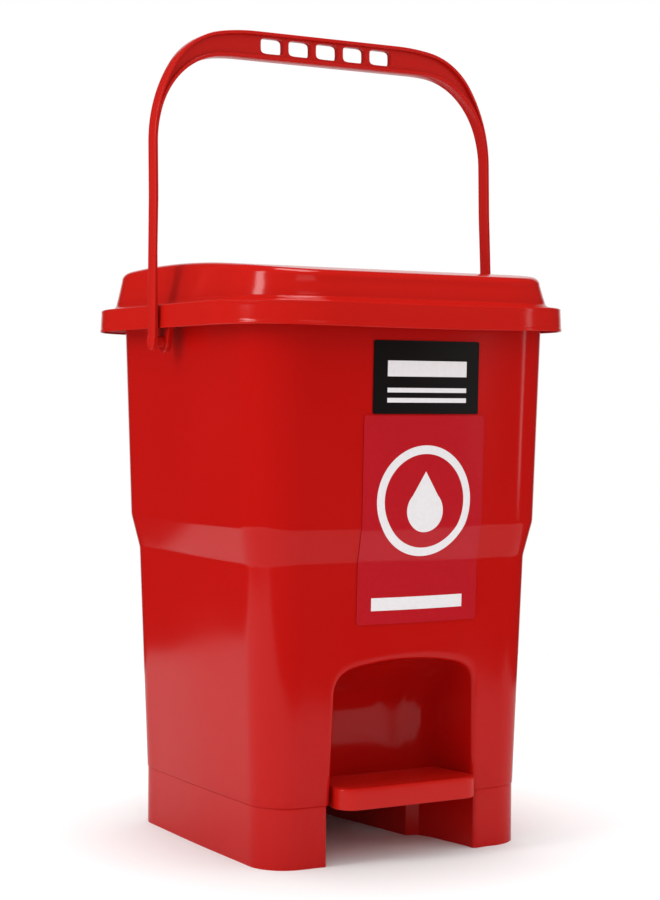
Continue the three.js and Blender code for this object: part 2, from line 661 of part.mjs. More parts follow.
/** A thin label that follows the front face, from its left to its right edge and over a run of heights. */
function frontLabel({ left, right, bottom, top, thickness }, heights) {
  const columns = 8;
  const levels = [bottom, ...heights.filter((z) => z > bottom && z < top), top];
  const positions = [];
  const index = [];
  for (const out of [GAP + thickness, GAP]) {
    for (const z of levels) {
      for (let i = 0; i <= columns; i += 1) {
        const x = THREE.MathUtils.lerp(left, right, i / columns);
        positions.push(x, -frontFace(x, z) - out, z);
      }
    }
  }
  const row = columns + 1;
  const sheet = row * levels.length;
  for (let j = 0; j + 1 < levels.length; j += 1) {
    for (let i = 0; i < columns; i += 1) {
      const a = j * row + i;
      index.push(a, a + 1, a + row + 1, a, a + row + 1, a + row);
      const b = a + sheet;
      index.push(b, b + row + 1, b + 1, b, b + row, b + row + 1);
    }
  }
  const border = [];
  for (let i = 0; i < columns; i += 1) border.push(i);
  for (let j = 0; j < levels.length - 1; j += 1) border.push(j * row + columns);
  for (let i = columns; i > 0; i -= 1) border.push((levels.length - 1) * row + i);
  for (let j = levels.length - 1; j > 0; j -= 1) border.push(j * row);
  border.forEach((a, i) => {
    const b = border[(i + 1) % border.length];
    index.push(b, a, a + sheet, b, a + sheet, b + sheet);
  });
  const geometry = new THREE.BufferGeometry();
  geometry.setAttribute('position', new THREE.Float32BufferAttribute(positions, 3));
  geometry.setIndex(index);
  return solid(geometry);
}

const waist = [SHELL[1].z, SHELL[2].z];
piece('name_label', frontLabel(LABEL, waist), black);
piece('warning_film', frontLabel(FILM, waist), film);

export default assembly;
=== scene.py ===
"""Red pedal bin for a biology lab: its moulded pieces, their finishes, a pale floor and soft light.

The frame is in metres, +Z up, with the bin's front towards -Y. The moulded pieces are drawn in millimetres
around the shell's centre line, as a moulder's drawing is, and `metres` brings them into the frame.
"""
import json
import math

import bmesh
import bpy
import numpy as np
from mathutils import Matrix, Vector

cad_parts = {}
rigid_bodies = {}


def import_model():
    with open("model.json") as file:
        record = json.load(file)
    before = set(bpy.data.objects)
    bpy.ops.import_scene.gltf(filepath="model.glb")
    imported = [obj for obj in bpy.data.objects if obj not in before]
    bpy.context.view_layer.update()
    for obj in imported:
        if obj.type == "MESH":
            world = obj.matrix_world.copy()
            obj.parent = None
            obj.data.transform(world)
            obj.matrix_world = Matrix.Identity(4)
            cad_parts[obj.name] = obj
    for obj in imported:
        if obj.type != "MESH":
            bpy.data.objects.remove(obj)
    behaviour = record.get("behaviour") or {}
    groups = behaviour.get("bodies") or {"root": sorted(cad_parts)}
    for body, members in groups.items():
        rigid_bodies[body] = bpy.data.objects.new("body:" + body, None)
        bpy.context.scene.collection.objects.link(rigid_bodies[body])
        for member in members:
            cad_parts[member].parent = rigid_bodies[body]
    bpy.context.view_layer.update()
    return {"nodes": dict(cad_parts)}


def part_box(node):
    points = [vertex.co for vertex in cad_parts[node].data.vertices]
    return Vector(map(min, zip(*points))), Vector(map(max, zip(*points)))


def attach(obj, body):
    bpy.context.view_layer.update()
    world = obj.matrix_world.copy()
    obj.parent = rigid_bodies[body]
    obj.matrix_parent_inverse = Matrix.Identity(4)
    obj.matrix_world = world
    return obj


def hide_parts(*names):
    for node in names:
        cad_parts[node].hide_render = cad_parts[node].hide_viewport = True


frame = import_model()

MM = 0.001
SHELL_Y = -5.3  # the shell's centre line stands this far in front of the lid's middle
LID_Y = 5.3  # the lid's middle, measured from the shell's centre line
WALL = 2.5
SHARP_ANGLE = 38.0  # degrees, above which an edge between two faces is shaded sharp
RUN, ARC = 36, 14  # points along each side of an outline and round each of its corners

FLANGE = dict(half=137.7, depth=151.0, corner=68.0, y=LID_Y)
FLANGE_FOOT, FLANGE_LEVEL = 374.0, 380.0  # where the wall starts to turn out, and the flange's own height
NOTCH_HALF, NOTCH_EASE = 48.0, 3  # half-width of the flange's gap for the hinges, and the run-out at its ends

HINGE_AT = (147.5, 377.0)  # y and z of the lid's hinge
PEG_AT = (1.5, 366.0)  # y and z of the handle's pegs
LUG_NOSE = 4.6

# half-width and corner radius of the shell at each height: bottom edge, below the waist, above the waist, rim
SHELL_Z = np.array([42.8, 211.0, 236.5, 384.0])
SHELL_HALF = np.array([108.3, 113.9, 119.5, 123.7])
SHELL_CORNER = np.array([27.6, 30.4, 33.2, 35.0])
FRONT_BOW, SIDE_BOW = 5.0, 1.0
BASE_HALF, BASE_CORNER, BASE_TOP = 107.9, 27.4, 42.7


# ---- mesh making --------------------------------------------------------------------------------


def metres(points):
    """Drawing millimetres to the frame's metres: scaled, and moved forward onto the shell's centre line."""
    return (np.asarray(points, float) + [0.0, SHELL_Y, 0.0]) * MM


def grid_faces(rows, columns, closed=False, first=0):
    """Quads of a grid stored row by row. A closed grid also joins its last column to its first."""
    wide = columns if closed else columns - 1
    i, j = np.meshgrid(np.arange(rows - 1), np.arange(wide), indexing="ij")
    right = (j + 1) % columns
    here, above = i * columns, (i + 1) * columns
    quads = np.stack([here + j, here + right, above + right, above + j], -1)
    return (quads.reshape(-1, 4) + first).tolist()


class Sheet:
    """Gathers grids into one mesh whose shared edges are then welded."""

    def __init__(self):
        self.points, self.faces, self.count = [], [], 0

    def grid(self, points, closed=False):
        """Adds a grid of points shaped (rows, columns, 3), in drawing millimetres."""
        rows, columns = points.shape[:2]
        self.faces += grid_faces(rows, columns, closed, self.count)
        self.points.append(np.asarray(points, float).reshape(-1, 3))
        self.count += rows * columns
        return self

    def mesh(self, name, outwards, fill=False, weld=0.02):
        """Welds the grids, fills flat openings when asked, and turns the faces outwards.

        outwards is a direction: the face furthest that way must look that way.
        """
        data = bpy.data.meshes.new(name)
        data.from_pydata(metres(np.concatenate(self.points)).tolist(), [], self.faces)
        bm = bmesh.new()
        bm.from_mesh(data)
        bmesh.ops.remove_doubles(bm, verts=bm.verts, dist=weld * MM)
        bmesh.ops.dissolve_degenerate(bm, edges=bm.edges, dist=1e-6)
        if fill:
            level = min(v.co.z for v in bm.verts) if fill == "bottom" else max(v.co.z for v in bm.verts)
            rim = [e for e in bm.edges if e.is_boundary and all(abs(v.co.z - level) < 1e-5 for v in e.verts)]
            bmesh.ops.holes_fill(bm, edges=rim, sides=0)
        bmesh.ops.recalc_face_normals(bm, faces=bm.faces)
        aim = Vector(outwards)
        probe = max(bm.faces, key=lambda face: face.calc_center_median().dot(aim))
        if probe.normal.dot(aim) < 0:
            bmesh.ops.reverse_faces(bm, faces=bm.faces)
        bm.to_mesh(data)
        bm.free()
        return data


def thickened(mesh, wall, clamp=0.8):
    """A copy of an open mesh with a wall inwards from its faces, thinner at short edges if clamped."""
    holder = bpy.data.objects.new("wall_maker", mesh)
    bpy.context.scene.collection.objects.link(holder)
    solidify = holder.modifiers.new("wall", "SOLIDIFY")
    solidify.thickness = wall * MM
    solidify.offset = -1
    solidify.use_even_offset = True
    solidify.thickness_clamp = clamp
    depsgraph = bpy.context.evaluated_depsgraph_get()
    thick = bpy.data.meshes.new_from_object(holder.evaluated_get(depsgraph))
    bpy.data.objects.remove(holder)
    return thick


def piece(name, meshes, material, body, nodes, wall=0.0):
    """One visible piece of the bin: joined meshes with a finish, riding on a body in place of its CAD nodes.

    The first mesh gets a wall when one is given, before the others join it.
    """
    obj = bpy.data.objects.new(name, thickened(meshes[0], wall) if wall else meshes[0])
    bpy.context.scene.collection.objects.link(obj)
    if len(meshes) > 1:
        bm = bmesh.new()
        bm.from_mesh(obj.data)
        for extra in meshes[1:]:
            bm.from_mesh(extra)
        bm.to_mesh(obj.data)
        bm.free()
    obj.data.name = name
    obj.data.materials.clear()
    obj.data.materials.append(material)
    obj.data.polygons.foreach_set("use_smooth", np.ones(len(obj.data.polygons), bool))
    obj.data.polygons.foreach_set("material_index", np.zeros(len(obj.data.polygons), np.int32))
    obj.data.set_sharp_from_angle(angle=math.radians(SHARP_ANGLE))
    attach(obj, body)
    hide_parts(*nodes)


def outline(half, depth, corner, y=0.0, side=0.0, front=0.0):
    """A rounded rectangle in plan: right, rear, left and front, counter-clockwise.

    Each side bulges by bow times (1 - u*u) squared, with u from -1 to 1 along its straight run, and each
    corner is a quarter circle. The rear has no bow.
    """
    u = -1 + 2 * np.arange(RUN) / RUN
    angle = np.arange(ARC) / ARC * math.pi / 2
    points = []
    for quarter, bow in enumerate((side, 0.0, side, front)):
        turn = quarter * math.pi / 2
        along, across = (depth, half) if quarter % 2 == 0 else (half, depth)
        out = np.concatenate([across + bow * (1 - u * u) ** 2, across - corner + corner * np.cos(angle)])
        sideways = np.concatenate([u * (along - corner), along - corner + corner * np.sin(angle)])
        points.append(np.stack([
            math.cos(turn) * out - math.sin(turn) * sideways,
            y + math.sin(turn) * out + math.cos(turn) * sideways,
        ], -1))
    return np.concatenate(points)


def ring(z, half, depth, corner, **bows):
    """An outline lifted to a height, or to one height for each of its points."""
    plan = outline(half, depth, corner, **bows)
    return np.column_stack([plan, np.broadcast_to(z, len(plan))])


def rolled_plate(points, low, high, roll, axis):
    """A flat plate across the x or z axis, closed at both faces, its edges rolled over a quarter circle.

    points is its counter-clockwise outline. Each ring is that outline drawn in along its averaged normals.
    """
    points = np.asarray(points, float)
    ahead = np.roll(points, -1, 0) - points
    ahead /= np.linalg.norm(ahead, axis=1, keepdims=True)
    behind = np.roll(ahead, 1, 0)
    normal = np.stack([(ahead + behind)[:, 1], -(ahead + behind)[:, 0]], -1)
    normal /= np.maximum((normal ** 2).sum(1, keepdims=True) / 2, 0.6)
    angle = np.linspace(0, math.pi / 2, 5)
    insets = roll * (1 - np.sin(angle))
    rises = roll * (1 - np.cos(angle))
    levels = [*zip(insets, low + rises), *zip(insets[::-1], high - rises[::-1])]
    rings = [np.column_stack([points - normal * inset, np.full(len(points), z)]) for inset, z in levels]
    order = {"x": [2, 0, 1], "z": [0, 1, 2]}[axis]
    rings = np.stack(rings)[..., order]
    data = bpy.data.meshes.new("plate")
    rows, columns = rings.shape[:2]
    faces = grid_faces(rows, columns, closed=True)
    faces.append(list(range(columns))[::-1])
    faces.append([(rows - 1) * columns + j for j in range(columns)])
    data.from_pydata(metres(rings.reshape(-1, 3)).tolist(), [], faces)
    bm = bmesh.new()
    bm.from_mesh(data)
    bmesh.ops.recalc_face_normals(bm, faces=bm.faces)
    bm.to_mesh(data)
    bm.free()
    return data


def arc_points(centre, radius, start, end, steps=14):
    """Points along a circular arc in a plane, from one angle in degrees to another."""
    angle = np.radians(np.linspace(start, end, steps))
    return np.stack([centre[0] + radius * np.cos(angle), centre[1] + radius * np.sin(angle)], -1)


def bezier(a, b, c, steps):
    """Points along the quadratic curve from a to c that is drawn towards b."""
    t = np.linspace(0, 1, steps)[:, None]
    return (1 - t) ** 2 * np.array(a) + 2 * t * (1 - t) * np.array(b) + t * t * np.array(c)


def resample(path, samples):
    """The same path in a plane with its points evenly spaced along its length."""
    along = np.concatenate([[0], np.cumsum(np.linalg.norm(np.diff(path, axis=0), axis=1))])
    even = np.linspace(0, along[-1], samples)
    return np.stack([np.interp(even, along, path[:, i]) for i in (0, 1)], -1)


def turned(profile, centre, sides=40):
    """A closed round piece: a profile of (radius, x) pairs turned about x, then moved to its centre."""
    radius, along = np.asarray(profile, float).T
    angle = np.linspace(0, 2 * math.pi, sides, endpoint=False)
    x = np.repeat(along[:, None], sides, 1)
    points = np.stack([x, np.outer(radius, np.cos(angle)), np.outer(radius, np.sin(angle))], -1)
    return Sheet().grid(points + np.asarray(centre, float), closed=True).mesh("turned", (0, 0, 1))


# ---- finishes -----------------------------------------------------------------------------------


def socket_group(name, inputs, outputs):
    """A shader node group with named inputs (name, kind, default) and outputs (name, kind)."""
    tree = bpy.data.node_groups.new(name, "ShaderNodeTree")
    for label, kind, value in inputs:
        socket = tree.interface.new_socket(label, in_out="INPUT", socket_type=kind)
        socket.default_value = value
    for label, kind in outputs:
        tree.interface.new_socket(label, in_out="OUTPUT", socket_type=kind)
    return tree, tree.nodes.new("NodeGroupInput"), tree.nodes.new("NodeGroupOutput")


def node(tree, kind, **values):
    """A shader node with its properties, and its inputs by name, set."""
    made = tree.nodes.new(kind)
    for key, value in values.items():
        if hasattr(made, key):
            setattr(made, key, value)
        else:
            made.inputs[key].default_value = value
    return made


def maths(tree, operation, *values):
    """The output of a Math node whose inputs are numbers or the outputs of other nodes."""
    made = node(tree, "ShaderNodeMath", operation=operation)
    for socket, value in zip(made.inputs, values):
        if isinstance(value, (int, float)):
            socket.default_value = value
        else:
            tree.links.new(value, socket)
    return made.outputs[0]


def ranged(tree, value, before, after, **values):
    """The output of a clamped Map Range node, from the pair before to the pair after."""
    made = node(tree, "ShaderNodeMapRange", **values)
    for label, number in zip(("From Min", "From Max", "To Min", "To Max"), (*before, *after)):
        made.inputs[label].default_value = number
    tree.links.new(value, made.inputs["Value"])
    return made.outputs[0]


def moulded_surface_group():
    """Injection-moulded plastic: slow pigment drift, dull patches, sink ripples and fine scuffs."""
    tree, entry, leave = socket_group(
        "moulded_surface",
        [("Colour", "NodeSocketColor", (0.6, 0.01, 0.008, 1)), ("Roughness", "NodeSocketFloat", 0.2),
         ("Drift", "NodeSocketFloat", 0.06), ("Ripple", "NodeSocketFloat", 0.08)],
        [("Colour", "NodeSocketColor"), ("Roughness", "NodeSocketFloat"), ("Normal", "NodeSocketVector")],
    )
    link = tree.links.new
    place = node(tree, "ShaderNodeTexCoord")
    slow = node(tree, "ShaderNodeTexNoise", Scale=9.0, Detail=2.0)
    fine = node(tree, "ShaderNodeTexNoise", Scale=260.0, Detail=4.0)
    scuff_map = node(tree, "ShaderNodeMapping", Scale=(900.0, 900.0, 60.0))
    scuff = node(tree, "ShaderNodeTexNoise", Scale=1.0, Detail=2.0)
    for noise in (slow, fine):
        link(place.outputs["Object"], noise.inputs["Vector"])
    link(place.outputs["Object"], scuff_map.inputs["Vector"])
    link(scuff_map.outputs[0], scuff.inputs["Vector"])
    centred = maths(tree, "SUBTRACT", slow.outputs["Fac"], 0.5)
    shade = node(tree, "ShaderNodeVectorMath", operation="SCALE")
    link(entry.outputs["Colour"], shade.inputs[0])
    link(maths(tree, "MULTIPLY_ADD", centred, entry.outputs["Drift"], 1.0), shade.inputs["Scale"])
    link(shade.outputs[0], leave.inputs["Colour"])
    dull = maths(tree, "MULTIPLY_ADD", centred, 0.10, entry.outputs["Roughness"])
    link(maths(tree, "MULTIPLY_ADD", fine.outputs["Fac"], 0.04, dull), leave.inputs["Roughness"])
    ripple = node(tree, "ShaderNodeBump", Distance=0.0006)
    link(entry.outputs["Ripple"], ripple.inputs["Strength"])
    link(slow.outputs["Fac"], ripple.inputs["Height"])
    scratches = node(tree, "ShaderNodeBump", Distance=0.00002, Strength=0.10)
    link(scuff.outputs["Fac"], scratches.inputs["Height"])
    link(ripple.outputs[0], scratches.inputs["Normal"])
    link(scratches.outputs[0], leave.inputs["Normal"])
    return tree


MOULDED = moulded_surface_group()


def new_material(name):
    """An empty node material with a Principled shader wired to its output."""
    material = bpy.data.materials.new(name)
    material.use_nodes = True
    tree = material.node_tree
    tree.nodes.clear()
    shader = tree.nodes.new("ShaderNodeBsdfPrincipled")
    result = tree.nodes.new("ShaderNodeOutputMaterial")
    tree.links.new(shader.outputs[0], result.inputs[0])
    return material, tree, shader


def red_plastic(name, colour, roughness, ripple):
    """Glossy red polypropylene."""
    material, tree, shader = new_material(name)
    surface = tree.nodes.new("ShaderNodeGroup")
    surface.node_tree = MOULDED
    surface.inputs["Colour"].default_value = (*colour, 1)
    surface.inputs["Roughness"].default_value = roughness
    surface.inputs["Ripple"].default_value = ripple
    for here, there in (("Colour", "Base Color"), ("Roughness", "Roughness"), ("Normal", "Normal")):
        tree.links.new(surface.outputs[here], shader.inputs[there])
    shader.inputs["IOR"].default_value = 1.49
    shader.inputs["Specular IOR Level"].default_value = 0.3
    return material


def zinc_steel():
    """Zinc-plated steel: cloudy plating whose tone, roughness and height follow one fine noise."""
    material, tree, shader = new_material("zinc_plated_steel")
    place = node(tree, "ShaderNodeTexCoord")
    cloud = node(tree, "ShaderNodeTexNoise", Scale=180.0, Detail=3.0)
    tree.links.new(place.outputs["Object"], cloud.inputs["Vector"])
    ramp = node(tree, "ShaderNodeValToRGB")
    ramp.color_ramp.elements[0].color = (0.46, 0.47, 0.50, 1)
    ramp.color_ramp.elements[1].color = (0.70, 0.71, 0.72, 1)
    bump = node(tree, "ShaderNodeBump", Distance=0.00003, Strength=0.25)
    tree.links.new(cloud.outputs["Fac"], ramp.inputs["Fac"])
    tree.links.new(cloud.outputs["Fac"], bump.inputs["Height"])
    tree.links.new(ramp.outputs[0], shader.inputs["Base Color"])
    tree.links.new(ranged(tree, cloud.outputs["Fac"], (0, 1), (0.24, 0.42)), shader.inputs["Roughness"])
    tree.links.new(bump.outputs[0], shader.inputs["Normal"])
    shader.inputs["Metallic"].default_value = 1.0
    return material


PRINT_WHITE = (0.74, 0.71, 0.72, 1)
SOFT_EDGE = 0.00006  # metres to each side of a printed mark's edge


def printed(name, ground, roughness, marks):
    """A printed sticker: its ground colour, with white where any of its marks lies.

    Each mark is built from the object's own x and z. A bar is (x, z, half width, half height), a ring is
    (x, z, outer radius, inner radius), and a droplet is (x, z, its disc's radius).
    """
    material, tree, shader = new_material(name)
    link = tree.links.new
    place = node(tree, "ShaderNodeTexCoord")
    split = node(tree, "ShaderNodeSeparateXYZ")
    link(place.outputs["Object"], split.inputs[0])

    def below(value, limit):
        """1 where value is under the limit, with an edge a tenth of a millimetre soft."""
        return ranged(tree, value, (limit - SOFT_EDGE, limit + SOFT_EDGE), (1, 0))

    def beyond(value, limit):
        return maths(tree, "SUBTRACT", 1.0, below(value, limit))

    def both(a, b):
        return maths(tree, "MULTIPLY", a, b)

    def away(axis, middle):
        return maths(tree, "ABSOLUTE", maths(tree, "SUBTRACT", split.outputs[axis], middle * MM))

    def radius_from(x, z):
        across, up = away("X", x), away("Z", z)
        return maths(tree, "SQRT", maths(tree, "ADD", both(across, across), both(up, up)))

    def bar(x, z, half, height):
        return both(below(away("X", x), half * MM), below(away("Z", z), height * MM))

    def ring_mark(x, z, outer, inner):
        r = radius_from(x, z)
        return both(below(r, outer * MM), beyond(r, inner * MM))

    def droplet(x, z, size):
        """A disc with a point: the width shrinks evenly from a little above the disc's middle to the tip."""
        disc = below(radius_from(x, z), size * MM)
        rise = maths(tree, "SUBTRACT", split.outputs["Z"], (z + 0.35 * size) * MM)
        width = maths(tree, "SUBTRACT", 0.93 * size * MM, both(rise, 0.62))
        inside = below(maths(tree, "SUBTRACT", away("X", x), width), 0.0)
        point = both(inside, both(beyond(rise, 0.0), below(rise, 1.5 * size * MM)))
        return maths(tree, "MAXIMUM", disc, point)

    makers = {"bar": bar, "ring": ring_mark, "droplet": droplet}
    mask = None
    for kind, *sizes in marks:
        made = makers[kind](*sizes)
        mask = made if mask is None else maths(tree, "MAXIMUM", mask, made)
    grain = node(tree, "ShaderNodeTexNoise", Scale=400.0, Detail=3.0)
    link(place.outputs["Object"], grain.inputs["Vector"])
    mix = node(tree, "ShaderNodeMix", data_type="RGBA")
    mix.inputs[6].default_value = (*ground, 1)
    mix.inputs[7].default_value = PRINT_WHITE
    link(mask, mix.inputs[0])
    toned = node(tree, "ShaderNodeVectorMath", operation="SCALE")
    link(mix.outputs[2], toned.inputs[0])
    link(ranged(tree, grain.outputs["Fac"], (0, 1), (0.93, 1.05)), toned.inputs["Scale"])
    link(toned.outputs[0], shader.inputs["Base Color"])
    gloss = ranged(tree, grain.outputs["Fac"], (0, 1), (roughness - 0.04, roughness + 0.06))
    link(gloss, shader.inputs["Roughness"])
    bump = node(tree, "ShaderNodeBump", Distance=0.00002, Strength=0.2)
    link(grain.outputs["Fac"], bump.inputs["Height"])
    link(bump.outputs[0], shader.inputs["Normal"])
    shader.inputs["IOR"].default_value = 1.48
    shader.inputs["Specular IOR Level"].default_value = 0.35
    return material


RED, BRIGHT_RED = (0.42, 0.0040, 0.0026), (0.47, 0.0075, 0.0042)
SHELL_RED = red_plastic("shell_red", RED, 0.10, 0.16)
BASE_RED = red_plastic("base_red", RED, 0.13, 0.12)
LID_RED = red_plastic("lid_red", BRIGHT_RED, 0.13, 0.12)
HANDLE_RED = red_plastic("handle_red", BRIGHT_RED, 0.20, 0.05)
PEDAL_RED = red_plastic("pedal_red", BRIGHT_RED, 0.18, 0.05)
STEEL = zinc_steel()
LABEL_PRINT = printed("black_label_print", (0.006, 0.003, 0.003), 0.42, [
    ("bar", 7.3, 346.5, 33.0, 5.5), ("bar", 7.3, 331.5, 33.0, 1.6), ("bar", 7.3, 324.5, 33.0, 1.6),
])
FILM_PRINT = printed("film_print", (0.42, 0.008, 0.014), 0.12, [
    ("ring", 7.0, 254.0, 39.0, 33.0), ("droplet", 7.0, 247.0, 15.0), ("bar", 6.0, 182.0, 38.0, 4.5),
])


# ---- shell --------------------------------------------------------------------------------------


KINK_EASE = 3.0  # height over which each kink in the shell's profile is eased
EDGE_ROLL = 0.3  # radius of the shell's bottom edge and of the base's top edge


def eased(z, values):
    """The shell's piecewise straight profile with its kinks eased, as a moving average over height."""
    shifts = np.linspace(-KINK_EASE / 2, KINK_EASE / 2, 9)[:, None]
    return np.interp(np.atleast_1d(z) + shifts, SHELL_Z, values).mean(0)


def edge_inset(z):
    """How far the shell's bottom edge draws in at a height, over a quarter circle."""
    up = np.clip((np.atleast_1d(z) - SHELL_Z[0]) / EDGE_ROLL, 0, 1)
    return EDGE_ROLL * (1 - np.sqrt(1 - (1 - up) ** 2))


def shell_ring(z):
    """The shell's outer ring at one height."""
    half, corner = float(eased(z, SHELL_HALF)[0] - edge_inset(z)[0]), float(eased(z, SHELL_CORNER)[0])
    return ring(z, half, half, corner, side=SIDE_BOW, front=FRONT_BOW)


def front_y(x, z):
    """The front face's y at x and z: the half-width, plus the bow along the run between the corners."""
    x, z = np.broadcast_arrays(np.asarray(x, float), np.asarray(z, float))
    half = eased(z.ravel(), SHELL_HALF).reshape(z.shape)
    corner = eased(z.ravel(), SHELL_CORNER).reshape(z.shape)
    roll = edge_inset(z.ravel()).reshape(z.shape)
    u = np.clip(x / (half - roll - corner), -1, 1)
    return -(half - roll + FRONT_BOW * (1 - u * u) ** 2)


ARCH_HALF, ARCH_SHOULDER, ARCH_CROWN, ARCH_CORNER = 59.0, 121.0, 142.0, 20.0
ARCH_ROLL = 4.0
ALCOVE_BACK = -48.0  # y of the alcove's back wall at the floor
ALCOVE_POWER, ALCOVE_STEPS = 3.2, 57  # of the superellipse that is half of the alcove's plan
ALCOVE_TAPER, ALCOVE_DEPTH = 0.1, 62  # the share of its width that the alcove has lost at that depth
PANEL_FIRST, PANEL_LAST, PANEL_TOP = 2, 34, 168.0  # the front's points and the height that bound its panel


def arch(samples, low):
    """The alcove's arch in x and z from its left foot over the crown to its right foot, evenly spaced."""
    half, crown = ARCH_HALF, ARCH_CROWN
    left = np.concatenate([
        np.array([[-half, low], [-half + 2, ARCH_SHOULDER]]),
        bezier((-half + 2, ARCH_SHOULDER), (-half + 3, crown - 7), (-half + ARCH_CORNER, crown - 4), 16)[1:],
        bezier((-half + ARCH_CORNER, crown - 4), (-20, crown), (0, crown), 16)[1:],
    ])
    return resample(np.concatenate([left, (left * [-1, 1])[::-1][1:]]), samples)


def alcove_back(z):
    """How far back the alcove reaches at a height: an upright wall that curves forward into the roof."""
    start = (ALCOVE_BACK - 2, ARCH_CROWN - 50)
    bend = (ALCOVE_BACK - 4, ARCH_CROWN - 4)
    end = (-140, ARCH_CROWN + 6)
    curve = np.concatenate([[[ALCOVE_BACK, 0]], bezier(start, bend, end, 60)])
    return np.interp(z, curve[:, 1], curve[:, 0])


def shell_sheet():
    """The shell's outer skin with its alcove, open at the top.

    Rings climb from the bottom edge to the flange, closer together over the waist's kinks. The front panel
    around the alcove is left out of them and is filled by a grid from the panel's border to the arch, a
    quarter-round roll over the arch's edge, and the alcove's own surface, whose plan at each height is half a
    superellipse.
    """
    sheet = Sheet()
    low = SHELL_Z[0]
    below = np.concatenate([low + np.array([0, 0.04, 0.14, 0.3, 4]), np.linspace(50, PANEL_TOP, 24)])
    above = np.concatenate([
        np.linspace(PANEL_TOP, 205, 7), np.linspace(208, 214, 9), np.linspace(216, 232, 7),
        np.linspace(233.5, 239.5, 9), np.linspace(245, FLANGE_FOOT, 22),
    ])
    around = 4 * (RUN + ARC)
    first, last = (3 * (RUN + ARC) + point for point in (PANEL_FIRST, PANEL_LAST))
    lower = np.stack([shell_ring(z) for z in below])
    sheet.grid(lower[:, np.arange(last, first + around + 1) % around])
    sheet.grid(np.stack([shell_ring(z) for z in above]), closed=True)

    left, right, top = lower[:, first], lower[:, last][::-1], lower[-1, first:last + 1]
    border = np.concatenate([left, top[1:-1], right])[:, [0, 2]]
    samples = len(border)
    foot = arch(samples, low)
    tangent = np.gradient(foot, axis=0)
    tangent[0], tangent[-1] = [0, 1], [0, -1]
    tangent /= np.linalg.norm(tangent, axis=1, keepdims=True)
    outward = np.stack([-tangent[:, 1], tangent[:, 0]], -1)
    outer = foot + outward * ARCH_ROLL
    outer[[0, -1], 1] = low
    share = np.linspace(0, 1, 9)[:, None, None] ** 0.9
    flat = border + (outer - border) * share
    sheet.grid(np.stack([flat[..., 0], front_y(flat[..., 0], flat[..., 1]), flat[..., 1]], -1))

    angle = np.linspace(0, math.pi / 2, 8)[:, None, None]
    rolled = foot + outward * ARCH_ROLL * (1 - np.sin(angle))
    rolled[:, [0, -1], 1] = low
    y = front_y(rolled[..., 0], rolled[..., 1]) + ARCH_ROLL * (1 - np.cos(angle[..., 0]))
    sheet.grid(np.stack([rolled[..., 0], y, rolled[..., 1]], -1))

    rows = samples // 2 + samples % 2
    half, height, entry = -foot[:rows, 0], foot[:rows, 1], y[-1][:rows]
    reach = np.maximum(alcove_back(height) - entry, 0.5)
    theta = np.linspace(0, math.pi, ALCOVE_STEPS)
    across = -np.sign(np.cos(theta)) * np.abs(np.cos(theta)) ** (1 / ALCOVE_POWER)
    depth = reach[:, None] * np.abs(np.sin(theta)) ** (1 / ALCOVE_POWER)
    taper = 1 - ALCOVE_TAPER * depth / ALCOVE_DEPTH
    level = np.repeat(height[:, None], ALCOVE_STEPS, 1)
    sheet.grid(np.stack([half[:, None] * across * taper, entry[:, None] + depth, level], -1))
    return sheet


def flange_sheet(sheet):
    """The shell's rim: the wall turns out over a small curve to the flange and its edge stands up.

    At the hinges the flange is left out, by easing it back to the wall within the notch.
    """
    wall = shell_ring(FLANGE_FOOT)
    edge = ring(FLANGE_LEVEL, **FLANGE)
    rear = float(eased(FLANGE_LEVEL, SHELL_HALF)[0]) + 0.3
    at_notch = (np.abs(edge[:, 0]) < NOTCH_HALF + NOTCH_EASE) & (edge[:, 1] > 0)
    back_in = np.clip((np.abs(edge[:, 0]) - NOTCH_HALF) / NOTCH_EASE, 0, 1)
    edge[:, 1] = np.where(at_notch, rear + (edge[:, 1] - rear) * back_in, edge[:, 1])
    rows = [wall]
    for share, lift in (
        (0.0, 3.0), (0.02, 4.8), (0.08, 5.7), (0.2, 6.0), (0.55, 6.0), (0.92, 6.0), (0.985, 6.3),
    ):
        row = wall + (edge - wall) * share
        row[:, 2] = FLANGE_FOOT + lift
        rows.append(row)
    for z in (381.2, 384.0):
        row = edge.copy()
        row[:, 2] = z
        rows.append(row)
    sheet.grid(np.stack(rows), closed=True)
    return sheet


def lug_outline(centre, radius, root_a, root_b):
    """A lug's outline in y and z: two root points and the tangents from them to a round nose."""
    def angle(root, side):
        dy, dz = root[0] - centre[0], root[1] - centre[1]
        return math.degrees(math.atan2(dz, dy) + side * math.acos(radius / math.hypot(dy, dz)))

    start, end = angle(root_a, 1), angle(root_b, -1)
    if end < start:
        end += 360
    return np.concatenate([[root_a], arc_points(centre, radius, start, end), [root_b]])


def shell_fittings():
    """The four hinge lugs at the back and the two ears under the flange that the handle's pegs stand in."""
    root = float(eased(FLANGE_LEVEL, SHELL_HALF)[0]) - 1.5
    meshes = []
    for side in (-1, 1):
        for x in (30, 44):
            shape = lug_outline(HINGE_AT, LUG_NOSE, (root, 350), (root, 381))
            meshes.append(rolled_plate(shape, side * x - 2, side * x + 2, 0.5, "x"))
        ear = lug_outline(PEG_AT, 8, (PEG_AT[0] - 12, 381), (PEG_AT[0] + 12, 381))
        low, high = sorted((side * 133, side * 137))
        meshes.append(rolled_plate(ear, low, high, 0.7, "x"))
    return meshes


piece("shell", [flange_sheet(shell_sheet()).mesh("shell", (0, -1, 0), fill="bottom"), *shell_fittings()],
      SHELL_RED, "base", ["body_shell"], wall=WALL)


# ---- base ---------------------------------------------------------------------------------------


OPENING_HALF, OPENING_ROUND = 61, 3  # half-width of the front opening between the legs, and its corner radius
TUNNEL_HALF = 20  # half-width of the lever tunnel at the back


